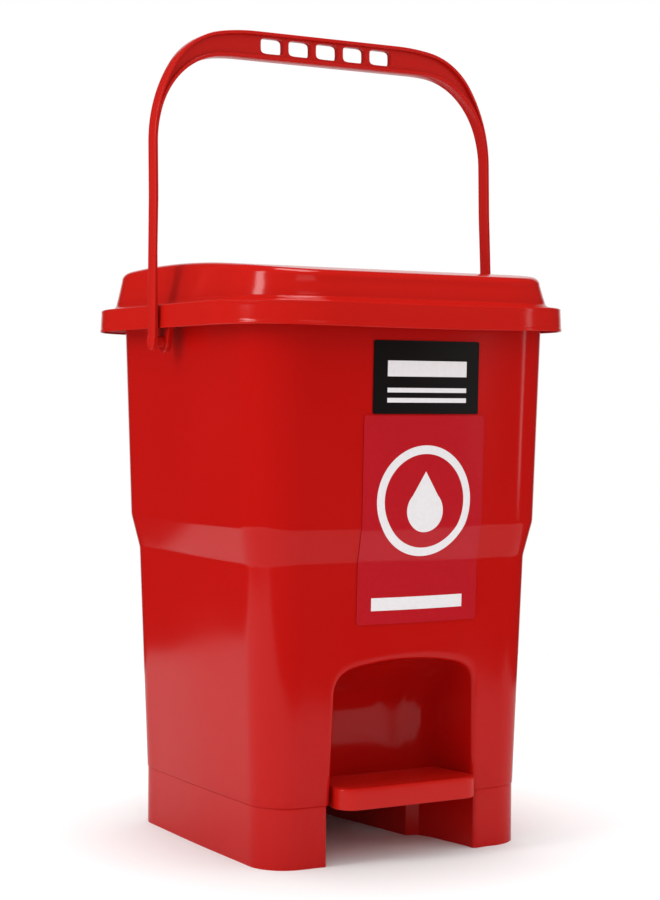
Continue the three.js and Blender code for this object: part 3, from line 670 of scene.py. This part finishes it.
def base_half_plan(side):
    """One leg of the base in plan: round the outside from the front opening to the rear notch, and back in
    along the lever tunnel's cheek to the opening's rounded corner."""
    plan = outline(BASE_HALF, BASE_HALF, BASE_CORNER, side=SIDE_BOW, front=FRONT_BOW)
    right = plan[plan[:, 0] > 0]
    right = right[np.argsort(np.arctan2(right[:, 1], right[:, 0]))]
    nearest = np.where(right[:, 1] < 0, OPENING_HALF + OPENING_ROUND, TUNNEL_HALF + 1.5)
    outside = right[right[:, 0] >= nearest]
    y_front = -(BASE_HALF + FRONT_BOW * (1 - (OPENING_HALF / (BASE_HALF - BASE_CORNER)) ** 2) ** 2)
    corner = arc_points((OPENING_HALF + OPENING_ROUND, y_front + OPENING_ROUND), OPENING_ROUND, 180, 270, 8)
    cheek = [[TUNNEL_HALF, 104], [TUNNEL_HALF, 100], [41, -48], [50, -52], [54, -62], [OPENING_HALF, -100]]
    shape = np.concatenate([outside, [[TUNNEL_HALF, BASE_HALF]], cheek, corner])
    return shape if side > 0 else (shape * [-1, 1])[::-1]


def base_leg(side):
    """One leg, open at the bottom: its plan carried from the floor to a rolled top edge, and closed there."""
    plan = base_half_plan(side)
    ahead = np.roll(plan, -1, 0) - np.roll(plan, 1, 0)
    ahead /= np.linalg.norm(ahead, axis=1, keepdims=True)
    normal = np.stack([ahead[:, 1], -ahead[:, 0]], -1)
    angle = np.linspace(0, math.pi / 2, 6)
    levels = [(0.0, z) for z in (0.0, 3.0, 12.0, 26.0, 38.0)]
    levels += [(EDGE_ROLL * (1 - math.cos(a)), BASE_TOP - EDGE_ROLL * (1 - math.sin(a))) for a in angle]
    rows = [np.column_stack([plan - normal * inset, np.full(len(plan), z)]) for inset, z in levels]
    return Sheet().grid(np.stack(rows), closed=True).mesh("leg", (side, 0, 0), fill="top")


bridge = [[-22, 96], [22, 96], [22, 106.4], [-22, 106.4]]  # the bar that joins the legs over the tunnel's end
left_leg = thickened(base_leg(-1), WALL, clamp=0.0)
piece("base", [base_leg(1), left_leg, rolled_plate(bridge, 37, BASE_TOP, 0.5, "z")],
      BASE_RED, "base", ["base_frame"], wall=WALL)


# ---- lid ----------------------------------------------------------------------------------------

RIM_HALF, RIM_DEPTH, RIM_CORNER = 141.2, 155.5, 72.0
CROWN, CROWN_Y, CROWN_REACH = 9.5, 35.0, 155
RIM_SAG = 1.8  # how far the rim dips at the middle of its front
BAND_INSET, BAND_TOP, BAND_ROLL = 0.7, 390.6, 1.8
HOLLOW_INSET, HOLLOW_Z, HOLLOW_TURN = 10.8, 393.5, 1.35  # where the hollow curve starts, and how far it turns
STEEP_INSET, STEEP_Z, STEEP_IN, STEEP_UP = 13.5, 396.6, 4.6, 11.6
ROUND_INSET, ROUND_Z, ROUND_IN, ROUND_UP = 18.1, 408.2, 6.5, 5.6
PLATEAU_TOP = 413.8


def crowned(z, y):
    """The lid's crowned level: a parabola along y that is highest a little behind the middle."""
    return z + CROWN * (1 - ((y - CROWN_Y) / CROWN_REACH) ** 2)


def lid_row(inset, z, corner, crown=0.0, sag=0.0):
    """One ring of the lid, drawn in by an inset.

    crown is how much of the crowned level it follows, and sag is how far it dips at the middle of the front:
    by a parabola across, times the fourth power of the way forward.
    """
    row = ring(0.0, RIM_HALF - inset, RIM_DEPTH - inset, corner, y=LID_Y)
    level = z + crown * (crowned(0.0, row[:, 1]))
    dip = sag * (1 - (row[:, 0] / RIM_HALF) ** 2) * np.clip(-(row[:, 1] - LID_Y) / RIM_DEPTH, 0, 1) ** 4
    row[:, 2] = level - dip
    return row


def lid_sheet():
    """The lid's outer skin: a fine bead, the rim's drafted band and its rolled edge, a ledge, a hollow curve
    into the plateau's steep wall, a round over its edge, and the crowned top closed at a pole."""
    rows = [lid_row(inset, z, RIM_CORNER, sag=RIM_SAG) for inset, z in (
        (0.3, 375.4), (0.1, 375.6), (0.0, 376.1), (0.0, 376.8), (0.1, 377.3), (0.25, 377.6), (0.3, 379.0),
        (0.4, 383.0), (0.6, 388.0), (BAND_INSET, BAND_TOP),
    )]
    for a in np.linspace(0, math.pi / 2, 7)[1:]:
        inset, z = BAND_INSET + BAND_ROLL * (1 - math.cos(a)), BAND_TOP + BAND_ROLL * math.sin(a)
        rows.append(lid_row(inset, z, RIM_CORNER - 1.0, sag=RIM_SAG))
    for inset, z, corner, sag in ((5.0, 392.6, 69.0, 1.5), (8.0, 392.9, 64.0, 1.1), (10.6, 393.3, 60.0, 0.8)):
        rows.append(lid_row(inset, z, corner, sag=sag))
    for t in np.linspace(0, 1, 7)[1:]:
        inset = HOLLOW_INSET + 2.6 * math.sin(t * HOLLOW_TURN)
        z = HOLLOW_Z + 3.6 * (1 - math.cos(t * HOLLOW_TURN))
        rows.append(lid_row(inset, z, 58.0 - 2.0 * t, crown=0.15 * t, sag=0.6 * (1 - t)))
    for t in (0.3, 0.65, 1):
        inset, z = STEEP_INSET + STEEP_IN * t, STEEP_Z + STEEP_UP * t
        rows.append(lid_row(inset, z, 56.0 - 7.0 * t, crown=0.15 + 0.8 * t))
    for a in np.linspace(0, math.pi / 2, 10)[1:]:
        inward = ROUND_IN * (1 - math.cos(a))
        z = ROUND_Z + ROUND_UP * math.sin(a)
        rows.append(lid_row(ROUND_INSET + inward, z, 49.0 - inward, crown=0.95 + 0.05 * math.sin(a)))
    top = rows[-1]
    for share in (0.9, 0.75, 0.6, 0.45, 0.3, 0.15, 0.0):
        row = top.copy()
        row[:, 0] *= share
        row[:, 1] = LID_Y + (row[:, 1] - LID_Y) * share
        row[:, 2] = crowned(PLATEAU_TOP, row[:, 1])
        rows.append(row)
    return Sheet().grid(np.stack(rows), closed=True)


def lid_fittings():
    """Two hinge lugs and the heel that takes the lift rod, all rooted inside the lid's rear wall."""
    back = LID_Y + RIM_DEPTH
    meshes = []
    for side in (-1, 1):
        shape = lug_outline(HINGE_AT, LUG_NOSE, (back - 21.3, 411), (back - 8.8, 391))
        meshes.append(rolled_plate(shape, side * 37 - 3.5, side * 37 + 3.5, 0.5, "x"))
    rod_low, rod_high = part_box("lift_rod")
    eye = (rod_low.y / MM / 2 + rod_high.y / MM / 2 - SHELL_Y + 0.6, rod_high.z / MM - 2.0 + 0.2)
    shape = lug_outline(eye, 5.4, (back - 31.3, 417), (back - 18.8, 401))
    meshes.append(rolled_plate(shape, -10, -6, 0.5, "x"))
    return meshes


piece("lid_cover", [lid_sheet().mesh("lid_cover", (0, 0, 1)), *lid_fittings()],
      LID_RED, "lid", ["lid"], wall=2.2)


# ---- handle -------------------------------------------------------------------------------------

PEG_Y, PEG_Z = PEG_AT
STRAP = 12.0  # the strap's width along y
ARM_OUT, ARM_IN = (146.2, 144.3), (142.8, 141.7)  # x of the arm's faces, at the eye and where it starts to bend
GRIP_TOP, GRIP_BOTTOM = 595.5, 575.3
OUTER_ARCS = ((110, 32), (55, 80), (170, 90))  # (radius, degrees from upright at the arc's end)
INNER_ARCS = ((85, 18), (62, 45), (53, 84), (150, 90))
RIB, RECESS, STRAP_ROLL = 2.6, 3.1, 0.8  # a rib's thickness, the web's depth below it, its edges' rounding
SLOT_COUNT, SLOT_PITCH, SLOT_WIDE, SLOT_HIGH, SLOT_Z = 5, 23.4, 19.0, 11.5, 585.8
SLOT_POWER = 5.0  # of each slot's superellipse
SLOT_ROLL, SLOT_REACH = 0.5, 7  # a slot's edge rounding and its mean half-size
GRIP_HALF = SLOT_COUNT * SLOT_PITCH / 2
CELL_SIDE = 8  # steps along each side of a slot's cell, and across the bail's web so that their points meet
RIB_POINTS = 14  # points round each rib in the bail's section


def flank(x, level, arcs):
    """One flank of the bail as tangent arcs, from upright at x to level at the given height."""
    at, angle, path = np.zeros(2), 0.0, [np.zeros(2)]
    for radius, to in arcs:
        turn = np.radians(np.linspace(angle, to, 16))
        step = radius * np.stack([np.cos(turn) - math.cos(turn[0]), np.sin(turn) - math.sin(turn[0])], -1)
        path.extend(at + step[1:])
        at, angle = at + step[-1], to
    path = np.array(path)
    return path + [x, level - path[-1, 1]]


def bail_edges():
    """The bail's right half as two matched edges, outer and inner, from the eye up to the first slot's cell."""
    outer, inner = flank(ARM_OUT[1], GRIP_TOP, OUTER_ARCS), flank(ARM_IN[1], GRIP_BOTTOM, INNER_ARCS)
    arm = np.linspace(0, 1, 26)[:, None]
    arm_z = PEG_Z + (outer[0, 1] - PEG_Z) * arm
    arm_out = np.hstack([np.interp(arm_z, [PEG_Z, 470], ARM_OUT), arm_z])
    in_z = PEG_Z + (inner[0, 1] - PEG_Z) * arm
    arm_in = np.hstack([np.interp(in_z, [PEG_Z, 430, 470], [ARM_IN[0], *ARM_IN]), in_z])
    curve_out = resample(np.vstack([outer, [[GRIP_HALF, GRIP_TOP]]]), 70)
    curve_in = resample(np.vstack([inner, [[GRIP_HALF, GRIP_BOTTOM]]]), 70)
    return np.vstack([arm_out, curve_out[1:]]), np.vstack([arm_in, curve_in[1:]])


def strap_section(outer, inner, half_width):
    """The bail's section at each station: a rounded strap that deepens into two ribs and a recessed web.

    Its points run once round: the inner rib, the back web, the outer rib, the front web.
    """
    thick = np.linalg.norm(outer - inner, axis=1)
    across = (outer - inner) / thick[:, None]
    rib = np.minimum(RIB, thick * 0.46)
    recess = RECESS * np.clip((thick - 5) / 5, 0, 1) ** 0.8
    roll = np.minimum(STRAP_ROLL, thick * 0.25)
    w, zero = half_width, np.zeros_like(thick)
    quarter = np.linspace(0, math.pi / 2, 4)
    web = np.arange(1, CELL_SIDE) / CELL_SIDE
    stations = [(rib, -(w - recess)), (rib, -w + roll * 0.4), (rib - roll * 0.4, -w)]
    stations += [(roll * (1 - math.sin(a)), -w + roll * (1 - math.cos(a))) for a in quarter]
    stations += [(roll * (1 - math.cos(a)), w - roll * (1 - math.sin(a))) for a in quarter]
    stations += [(rib - roll * 0.4, w), (rib, w - roll * 0.4), (rib, w - recess)]
    stations += [(rib + (thick - 2 * rib) * t, w - recess) for t in web]
    stations += [(thick - rib, w - recess), (thick - rib, w - roll * 0.4), (thick - rib + roll * 0.4, w)]
    stations += [(thick - roll * (1 - math.sin(a)), w - roll * (1 - math.cos(a))) for a in quarter]
    stations += [(thick - roll * (1 - math.cos(a)), -w + roll * (1 - math.sin(a))) for a in quarter]
    stations += [(thick - rib + roll * 0.4, -w), (thick - rib, -w + roll * 0.4), (thick - rib, -(w - recess))]
    stations += [(rib + (thick - 2 * rib) * t, -(w - recess)) for t in web[::-1]]
    v = np.stack([a + zero for a, _ in stations], 1)
    y = np.stack([b + zero for _, b in stations], 1)
    flat = inner[:, None] + across[:, None] * v[..., None]
    return np.stack([flat[..., 0], PEG_Y + y, flat[..., 1]], -1)


def slotted_web(sheet, low, high, depth):
    """The grip's web with its slots: each slot is a superellipse whose edge is joined to its cell's border at
    the front and back, and its wall runs straight through."""
    side = np.linspace(0, 1, CELL_SIDE, endpoint=False)
    for i in range(SLOT_COUNT):
        centre = (i - (SLOT_COUNT - 1) / 2) * SLOT_PITCH
        x0, x1 = centre - SLOT_PITCH / 2, centre + SLOT_PITCH / 2
        border = np.concatenate([
            np.stack([x0 + (x1 - x0) * side, np.full(CELL_SIDE, low)], -1),
            np.stack([np.full(CELL_SIDE, x1), low + (high - low) * side], -1),
            np.stack([x1 + (x0 - x1) * side, np.full(CELL_SIDE, high)], -1),
            np.stack([np.full(CELL_SIDE, x0), high + (low - high) * side], -1),
        ])
        across, up = (border[:, 0] - centre) / (SLOT_WIDE / 2), (border[:, 1] - SLOT_Z) / (SLOT_HIGH / 2)
        turn = np.arctan2(up, across)
        c, s = np.cos(turn), np.sin(turn)
        scale = (np.abs(c) ** SLOT_POWER + np.abs(s) ** SLOT_POWER) ** (-1 / SLOT_POWER)
        slot = np.stack([centre + SLOT_WIDE / 2 * c * scale, SLOT_Z + SLOT_HIGH / 2 * s * scale], -1)
        middle = np.array([centre, SLOT_Z])
        wide = middle + (slot - middle) * (1 + SLOT_ROLL / SLOT_REACH)
        rolled = middle + (slot - middle) * (1 + 0.15 * SLOT_ROLL / SLOT_REACH)
        rings = [(border, -depth), (wide, -depth), (rolled, -depth + 0.15), (slot, -depth + SLOT_ROLL),
                 (slot, depth - SLOT_ROLL), (rolled, depth - 0.15), (wide, depth), (border, depth)]
        rows = [np.column_stack([p[:, 0], np.full(len(p), PEG_Y + y), p[:, 1]]) for p, y in rings]
        sheet.grid(np.stack(rows), closed=True)


def handle_mesh():
    """The bail: two mirrored arms with half-round feet, and the grip's ribs and slotted web between them."""
    outer, inner = bail_edges()
    foot = np.linspace(math.pi / 2, 0, 9)[:-1]
    drop = PEG_Z - STRAP / 2 * np.sin(foot)
    foot_out, foot_in = (np.column_stack([np.full(len(foot), x), drop]) for x in (ARM_OUT[0], ARM_IN[0]))
    foot_width = np.maximum(STRAP / 2 * np.cos(foot), 0.05)
    width = np.concatenate([foot_width, np.full(len(outer), STRAP / 2)])
    right = strap_section(np.vstack([foot_out, outer]), np.vstack([foot_in, inner]), width)
    closing = np.broadcast_to(right[0].mean(0), right[:1].shape)
    right = np.concatenate([closing, right])
    sheet = Sheet()
    sheet.grid(right, closed=True)
    sheet.grid(right * [-1, 1, 1], closed=True)
    end = right[-1]
    stations = np.arange(0, SLOT_COUNT * CELL_SIDE + 1) / (SLOT_COUNT * CELL_SIDE)
    x = GRIP_HALF - 2 * GRIP_HALF * stations
    level = np.repeat(end[None], len(x), 0)
    level[..., 0] = x[:, None]
    inner_rib = np.arange(0, RIB_POINTS)
    outer_rib = np.arange(RIB_POINTS, 2 * RIB_POINTS) + CELL_SIDE - 1
    sheet.grid(level[:, inner_rib])
    sheet.grid(level[:, outer_rib])
    slotted_web(sheet, low=end[0, 2], high=end[outer_rib[0], 2], depth=abs(end[0, 1] - PEG_Y))
    return sheet


LEAN = -1.5  # degrees about the pegs, tipping the raised handle a little


def lean(mesh):
    """The mesh turned about the pegs by the raised handle's lean."""
    pivot = Vector(metres([0, PEG_Y, PEG_Z]))
    turn = Matrix.Rotation(math.radians(LEAN), 4, "X")
    mesh.transform(Matrix.Translation(pivot) @ turn @ Matrix.Translation(-pivot))
    return mesh


EYE = (
    (0, 142.8), (6.0, 142.8), (6.3, 143.1), (6.3, 146.2), (6.1, 146.4), (5.2, 146.4), (5.0, 146.1), (0, 146.1),
)
PEG = ((0, 132.4), (3.5, 132.4), (4.0, 132.9), (4.0, 143.0), (0, 143.0))


def handle_eyes():
    """Each arm's round eye with a raised border, and the peg that stands in the shell's ear."""
    meshes = []
    for side in (-1, 1):
        for profile in (EYE, PEG):
            meshes.append(turned([(radius, side * x) for radius, x in profile], (0, PEG_Y, PEG_Z)))
    return meshes


piece("bail_handle", [lean(m) for m in [handle_mesh().mesh("bail_handle", (0, 0, 1)), *handle_eyes()]],
      HANDLE_RED, "handle", ["handle"])


# ---- pedal --------------------------------------------------------------------------------------

TREAD_HALF, TREAD_BACK_HALF, TREAD_FRONT, TREAD_BACK = 57.0, 51.5, -124.0, -72.0
TREAD_LOW, TREAD_TOP, TREAD_CORNER, TREAD_ROLL, TREAD_DISH = 40.5, 55.5, 13.0, 2.0, 0.5
LEVER_HALF, LEVER_SIDE = 17.0, 3  # half-width of the lever, and the thickness of its side plates
PEDAL_PIVOT = (0, 46, 21)


def tread_plan(inset):
    """The tread in plan, rounded at its front corners and narrower towards its back."""
    r = TREAD_CORNER - inset
    left_corner = arc_points((-TREAD_HALF + TREAD_CORNER, TREAD_FRONT + TREAD_CORNER), r, 180, 270, 12)
    right_corner = arc_points((TREAD_HALF - TREAD_CORNER, TREAD_FRONT + TREAD_CORNER), r, 270, 360, 12)
    half, y = TREAD_BACK_HALF - inset, TREAD_BACK - inset
    return np.concatenate([left_corner, right_corner, [[half, y], [-half, y]]])


def pedal_tread():
    """The tread as an open-bottomed tray: its wall, a roll over the edge, and a slightly dished top."""
    angle = np.linspace(0, math.pi / 2, 8)
    levels = [(0.5, TREAD_LOW), (0.0, TREAD_LOW + 0.5), (0.0, 46.0)]
    edge = TREAD_TOP - TREAD_ROLL
    levels += [(TREAD_ROLL * (1 - math.cos(a)), edge + TREAD_ROLL * math.sin(a)) for a in angle]
    rows = [np.column_stack([tread_plan(i), np.full(len(tread_plan(i)), z)]) for i, z in levels]
    rim = rows[-1]
    middle = np.array([0.0, (TREAD_FRONT + TREAD_BACK) / 2, TREAD_TOP])
    for share in (0.94, 0.8, 0.55, 0.25, 0.0):
        row = middle + (rim - middle) * share
        row[:, 2] = TREAD_TOP - TREAD_DISH * (1 - share)
        rows.append(row)
    return Sheet().grid(np.stack(rows), closed=True).mesh("tread", (0, 0, 1))


def pedal_lever():
    """The lever under the tread: two side plates, a web joining them, the pivot barrel and the rod's eye."""
    side = [
        [-76, 52.5], [-76, 40.5], [-52, 30], [36, 13], [52, 11], [112, 10], [112, 22], [54, 30],
        [-44, 39.5], [-60, 42],
    ]
    meshes = [rolled_plate(side, x, x + LEVER_SIDE, 0.5, "x") for x in (-LEVER_HALF, LEVER_HALF - LEVER_SIDE)]
    web = [
        [-70, 41], [-50, 36.5], [38, 27], [54, 26.5], [112, 19], [112, 22], [54, 29.5], [-44, 39], [-60, 44],
    ]
    meshes.append(rolled_plate(web, -LEVER_HALF + 1, LEVER_HALF - 1, 0.3, "x"))
    barrel = [(0, -17), (5.2, -17), (5.5, -16.7), (5.5, 16.7), (5.2, 17), (0, 17)]
    meshes.append(turned(barrel, PEDAL_PIVOT))
    rod_low, rod_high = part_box("lift_rod")
    eye = ((rod_low.y + rod_high.y) / 2 / MM - SHELL_Y, rod_low.z / MM + 2.0)
    meshes.append(rolled_plate(lug_outline(eye, 5.2, (108, 12), (108, 20)), -10, -6, 0.4, "x"))
    return meshes


piece("foot_pedal", [pedal_tread(), *pedal_lever()], PEDAL_RED, "pedal", ["pedal"], wall=WALL)


# ---- lift rod -----------------------------------------------------------------------------------


ROD_SIDES, ROD_BEND = 24, 5.0


def bent_rod():
    """A round wire carried along its line: crank end, quarter bend, long run, quarter bend, crank end."""
    low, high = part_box("lift_rod")
    radius = (high.y - low.y) / MM / 2
    y = (high.y + low.y) / MM / 2 - SHELL_Y
    bottom, top = low.z / MM + radius, high.z / MM - radius
    end, bend = low.x / MM, ROD_BEND
    angle = np.linspace(0, math.pi / 2, 12)
    lower = np.stack([-bend + bend * np.sin(angle), bottom + bend - bend * np.cos(angle)], -1)
    upper = np.stack([-bend + bend * np.cos(angle), top - bend + bend * np.sin(angle)], -1)
    line = np.vstack([[[end, bottom]], lower, upper, [[end, top]]])
    tangent = np.gradient(line, axis=0)
    tangent /= np.linalg.norm(tangent, axis=1, keepdims=True)
    side = np.stack([tangent[:, 1], -tangent[:, 0]], -1)
    turn = np.linspace(0, 2 * math.pi, ROD_SIDES, endpoint=False)
    flat = line[:, None] + side[:, None] * (radius * np.cos(turn))[None, :, None]
    depth = y + np.broadcast_to(radius * np.sin(turn), flat.shape[:2])
    points = np.stack([flat[..., 0], depth, flat[..., 1]], -1)
    caps = [np.repeat(points[i].mean(0)[None], ROD_SIDES, 0) for i in (0, -1)]
    return Sheet().grid(np.stack([caps[0], *points, caps[1]]), closed=True).mesh("lift_wire", (1, 0, 0))


piece("lift_wire", [bent_rod()], STEEL, "rod", ["lift_rod"])


# ---- stickers -----------------------------------------------------------------------------------


STICKER_LIFT, STICKER_CORNER, STICKER_THICK = 0.7, 0.8, 0.4
STICKER_COLUMNS, STICKER_ROWS = 41, 61


def sticker(left, right, bottom, top):
    """A sticker laid on the front face at a small lift: a rectangle whose corners are quarter circles."""
    u, v = np.meshgrid(np.linspace(-1, 1, STICKER_COLUMNS), np.linspace(-1, 1, STICKER_ROWS))
    half_x, half_z = (right - left) / 2, (top - bottom) / 2
    above = np.clip(np.abs(v) * half_z - (half_z - STICKER_CORNER), 0, STICKER_CORNER)
    reach = np.sqrt(np.maximum(STICKER_CORNER ** 2 - above ** 2, 0))
    x = (left + right) / 2 + u * (half_x - STICKER_CORNER + reach)
    z = (bottom + top) / 2 + v * half_z
    grid = np.stack([x, front_y(x, z) - STICKER_LIFT, z], -1)
    return Sheet().grid(grid).mesh("sticker", (0, -1, 0), weld=0.001)


piece("name_sticker", [sticker(-36.7, 51.3, 315, 366)], LABEL_PRINT, "base", ["name_label"],
      wall=STICKER_THICK)
piece("film_sticker", [sticker(-43, 57, 168, 314)], FILM_PRINT, "base", ["warning_film"],
      wall=STICKER_THICK)


# ---- carried-over pieces ------------------------------------------------------------------------


def finish_cad_nodes():
    """Steel for the pins, clips and screws and red plastic for the rod guide, in their own material slots."""
    for obj in bpy.context.scene.objects:
        if obj.type != "MESH" or obj.hide_render or obj.name not in frame["nodes"]:
            continue
        material = BASE_RED if obj.name == "rod_guide" else STEEL
        if not obj.material_slots:
            obj.data.materials.append(material)
        for place in obj.material_slots:
            place.material = material


finish_cad_nodes()


# ---- floor, light and camera --------------------------------------------------------------------

ROOM_SHADE = 1.05  # the room's light on matt surfaces
ROOM_REFLECTION, BACKDROP_REFLECTION = 0.02, 0.8  # what the room and its backdrop look like in a reflection
BACKDROP_WAY = (0.5, 0.86, 0.1)  # from the bin
BACKDROP_EDGE = (0.86, 0.95)  # the cosines, about that way, between which it fades in
TABLE_REFLECTION = 0.5  # how much of the table shows in a reflection
FLOOR_REACH, FLOOR_POINTS = 1.2, 9  # half the side of the floor's mesh, and its points along each side
TABLE_MIDDLE, TABLE_HALF, TABLE_CORNER, TABLE_EDGE = (-0.3, 0.13, 0.0), (1.05, 0.73), 0.12, 0.06


def floor():
    """A pale table top that reaches further to the bin's left than to its right.

    Its opacity is 1 inside a rectangle with round corners, and falls smoothly to 0 over the edge's width.
    """
    material, tree, shader = new_material("floor_white")
    link = tree.links.new
    shader.inputs["Base Color"].default_value = (0.95, 0.95, 0.95, 1)
    shader.inputs["Roughness"].default_value = 0.85
    place = node(tree, "ShaderNodeTexCoord")
    centred = node(tree, "ShaderNodeVectorMath", operation="SUBTRACT")
    centred.inputs[1].default_value = TABLE_MIDDLE
    folded = node(tree, "ShaderNodeVectorMath", operation="ABSOLUTE")
    beyond = node(tree, "ShaderNodeVectorMath", operation="SUBTRACT")
    beyond.inputs[1].default_value = (*(half - TABLE_CORNER for half in TABLE_HALF), 0.0)
    clipped = node(tree, "ShaderNodeVectorMath", operation="MAXIMUM")
    clipped.inputs[1].default_value = (0.0, 0.0, 0.0)
    length = node(tree, "ShaderNodeVectorMath", operation="LENGTH")
    link(place.outputs["Object"], centred.inputs[0])
    link(centred.outputs[0], folded.inputs[0])
    link(folded.outputs[0], beyond.inputs[0])
    link(beyond.outputs[0], clipped.inputs[0])
    link(clipped.outputs[0], length.inputs[0])
    edge = (TABLE_CORNER - TABLE_EDGE / 2, TABLE_CORNER + TABLE_EDGE / 2)
    fade = ranged(tree, length.outputs["Value"], edge, (1, 0), interpolation_type="SMOOTHSTEP")
    ray = node(tree, "ShaderNodeLightPath")
    dim = node(tree, "ShaderNodeMix", data_type="FLOAT")
    dim.inputs[2].default_value, dim.inputs[3].default_value = 1.0, TABLE_REFLECTION
    link(ray.outputs["Is Glossy Ray"], dim.inputs[0])
    link(maths(tree, "MULTIPLY", fade, dim.outputs[0]), shader.inputs["Alpha"])
    side = np.linspace(-FLOOR_REACH, FLOOR_REACH, FLOOR_POINTS)
    x, y = np.meshgrid(side, side)
    points = np.stack([x, y, np.zeros_like(x)], -1).reshape(-1, 3) + TABLE_MIDDLE
    data = bpy.data.meshes.new("floor")
    data.from_pydata(points.tolist(), [], grid_faces(FLOOR_POINTS, FLOOR_POINTS))
    data.materials.append(material)
    obj = bpy.data.objects.new("floor", data)
    bpy.context.scene.collection.objects.link(obj)


def soft_light(name, place, aim, size, power):
    """A rectangular area light, its size (width, height) in metres and its power in watts, facing its aim."""
    data = bpy.data.lights.new(name, "AREA")
    data.shape, data.size, data.size_y, data.energy = "RECTANGLE", size[0], size[1], power
    obj = bpy.data.objects.new(name, data)
    obj.location = place
    obj.rotation_euler = (Vector(aim) - Vector(place)).to_track_quat("-Z", "Y").to_euler()
    bpy.context.scene.collection.objects.link(obj)


def studio():
    """A white room with four softboxes. In reflections it is dark, apart from a pale soft-edged backdrop."""
    world = bpy.data.worlds.new("studio")
    world.use_nodes = True
    tree = world.node_tree
    background = tree.nodes["Background"]
    background.inputs[0].default_value = (1, 1, 1, 1)
    ray = node(tree, "ShaderNodeLightPath")
    shade = node(tree, "ShaderNodeMix", data_type="FLOAT")
    shade.inputs[2].default_value = ROOM_SHADE
    way = node(tree, "ShaderNodeTexCoord")
    facing = node(tree, "ShaderNodeVectorMath", operation="DOT_PRODUCT")
    facing.inputs[1].default_value = Vector(BACKDROP_WAY).normalized()
    tree.links.new(way.outputs["Generated"], facing.inputs[0])
    brightness = (ROOM_REFLECTION, BACKDROP_REFLECTION)
    cosine = facing.outputs["Value"]
    backdrop = ranged(tree, cosine, BACKDROP_EDGE, brightness, interpolation_type="SMOOTHSTEP")
    tree.links.new(backdrop, shade.inputs[3])
    seen = node(tree, "ShaderNodeMix", data_type="FLOAT")
    seen.inputs[3].default_value = 1.0
    tree.links.new(ray.outputs["Is Glossy Ray"], shade.inputs[0])
    tree.links.new(shade.outputs[0], seen.inputs[2])
    tree.links.new(ray.outputs["Is Camera Ray"], seen.inputs[0])
    tree.links.new(seen.outputs[0], background.inputs[1])
    bpy.context.scene.world = world
    soft_light("left_box", (-1.7, -0.1, 1.1), (-0.1, 0, 0.25), (0.4, 0.9), 10)
    soft_light("front_box", (-0.5, -2.2, 1.7), (0, 0, 0.3), (1.2, 0.5), 2)
    soft_light("right_box", (1.7, -1.5, 0.6), (0.1, -0.1, 0.25), (0.25, 1.1), 2)
    soft_light("top_box", (0.1, 0.1, 2.2), (0, 0, 0.3), (0.8, 0.8), 12)


CAMERA_PLACE = (-0.75136, -1.31552, 0.32343)
CAMERA_HEADING, CAMERA_TILT, CAMERA_ROLL = -29.89, -1.388, -0.31  # degrees from +Y, level and upright
LENS = 80.2


def camera():
    """The bin seen from the front left at a little above its middle."""
    data = bpy.data.cameras.new("camera")
    data.sensor_width = data.sensor_height = 36.0
    data.sensor_fit = "VERTICAL"
    data.lens = LENS
    obj = bpy.data.objects.new("camera", data)
    heading, tilt, roll = (math.radians(angle) for angle in (CAMERA_HEADING, 90 + CAMERA_TILT, -CAMERA_ROLL))
    turn = Matrix.Rotation(heading, 4, "Z") @ Matrix.Rotation(tilt, 4, "X") @ Matrix.Rotation(roll, 4, "Z")
    obj.matrix_world = Matrix.Translation(CAMERA_PLACE) @ turn
    bpy.context.scene.collection.objects.link(obj)
    bpy.context.scene.camera = obj


floor()
studio()
camera()
bpy.context.scene.view_settings.view_transform = "Standard"
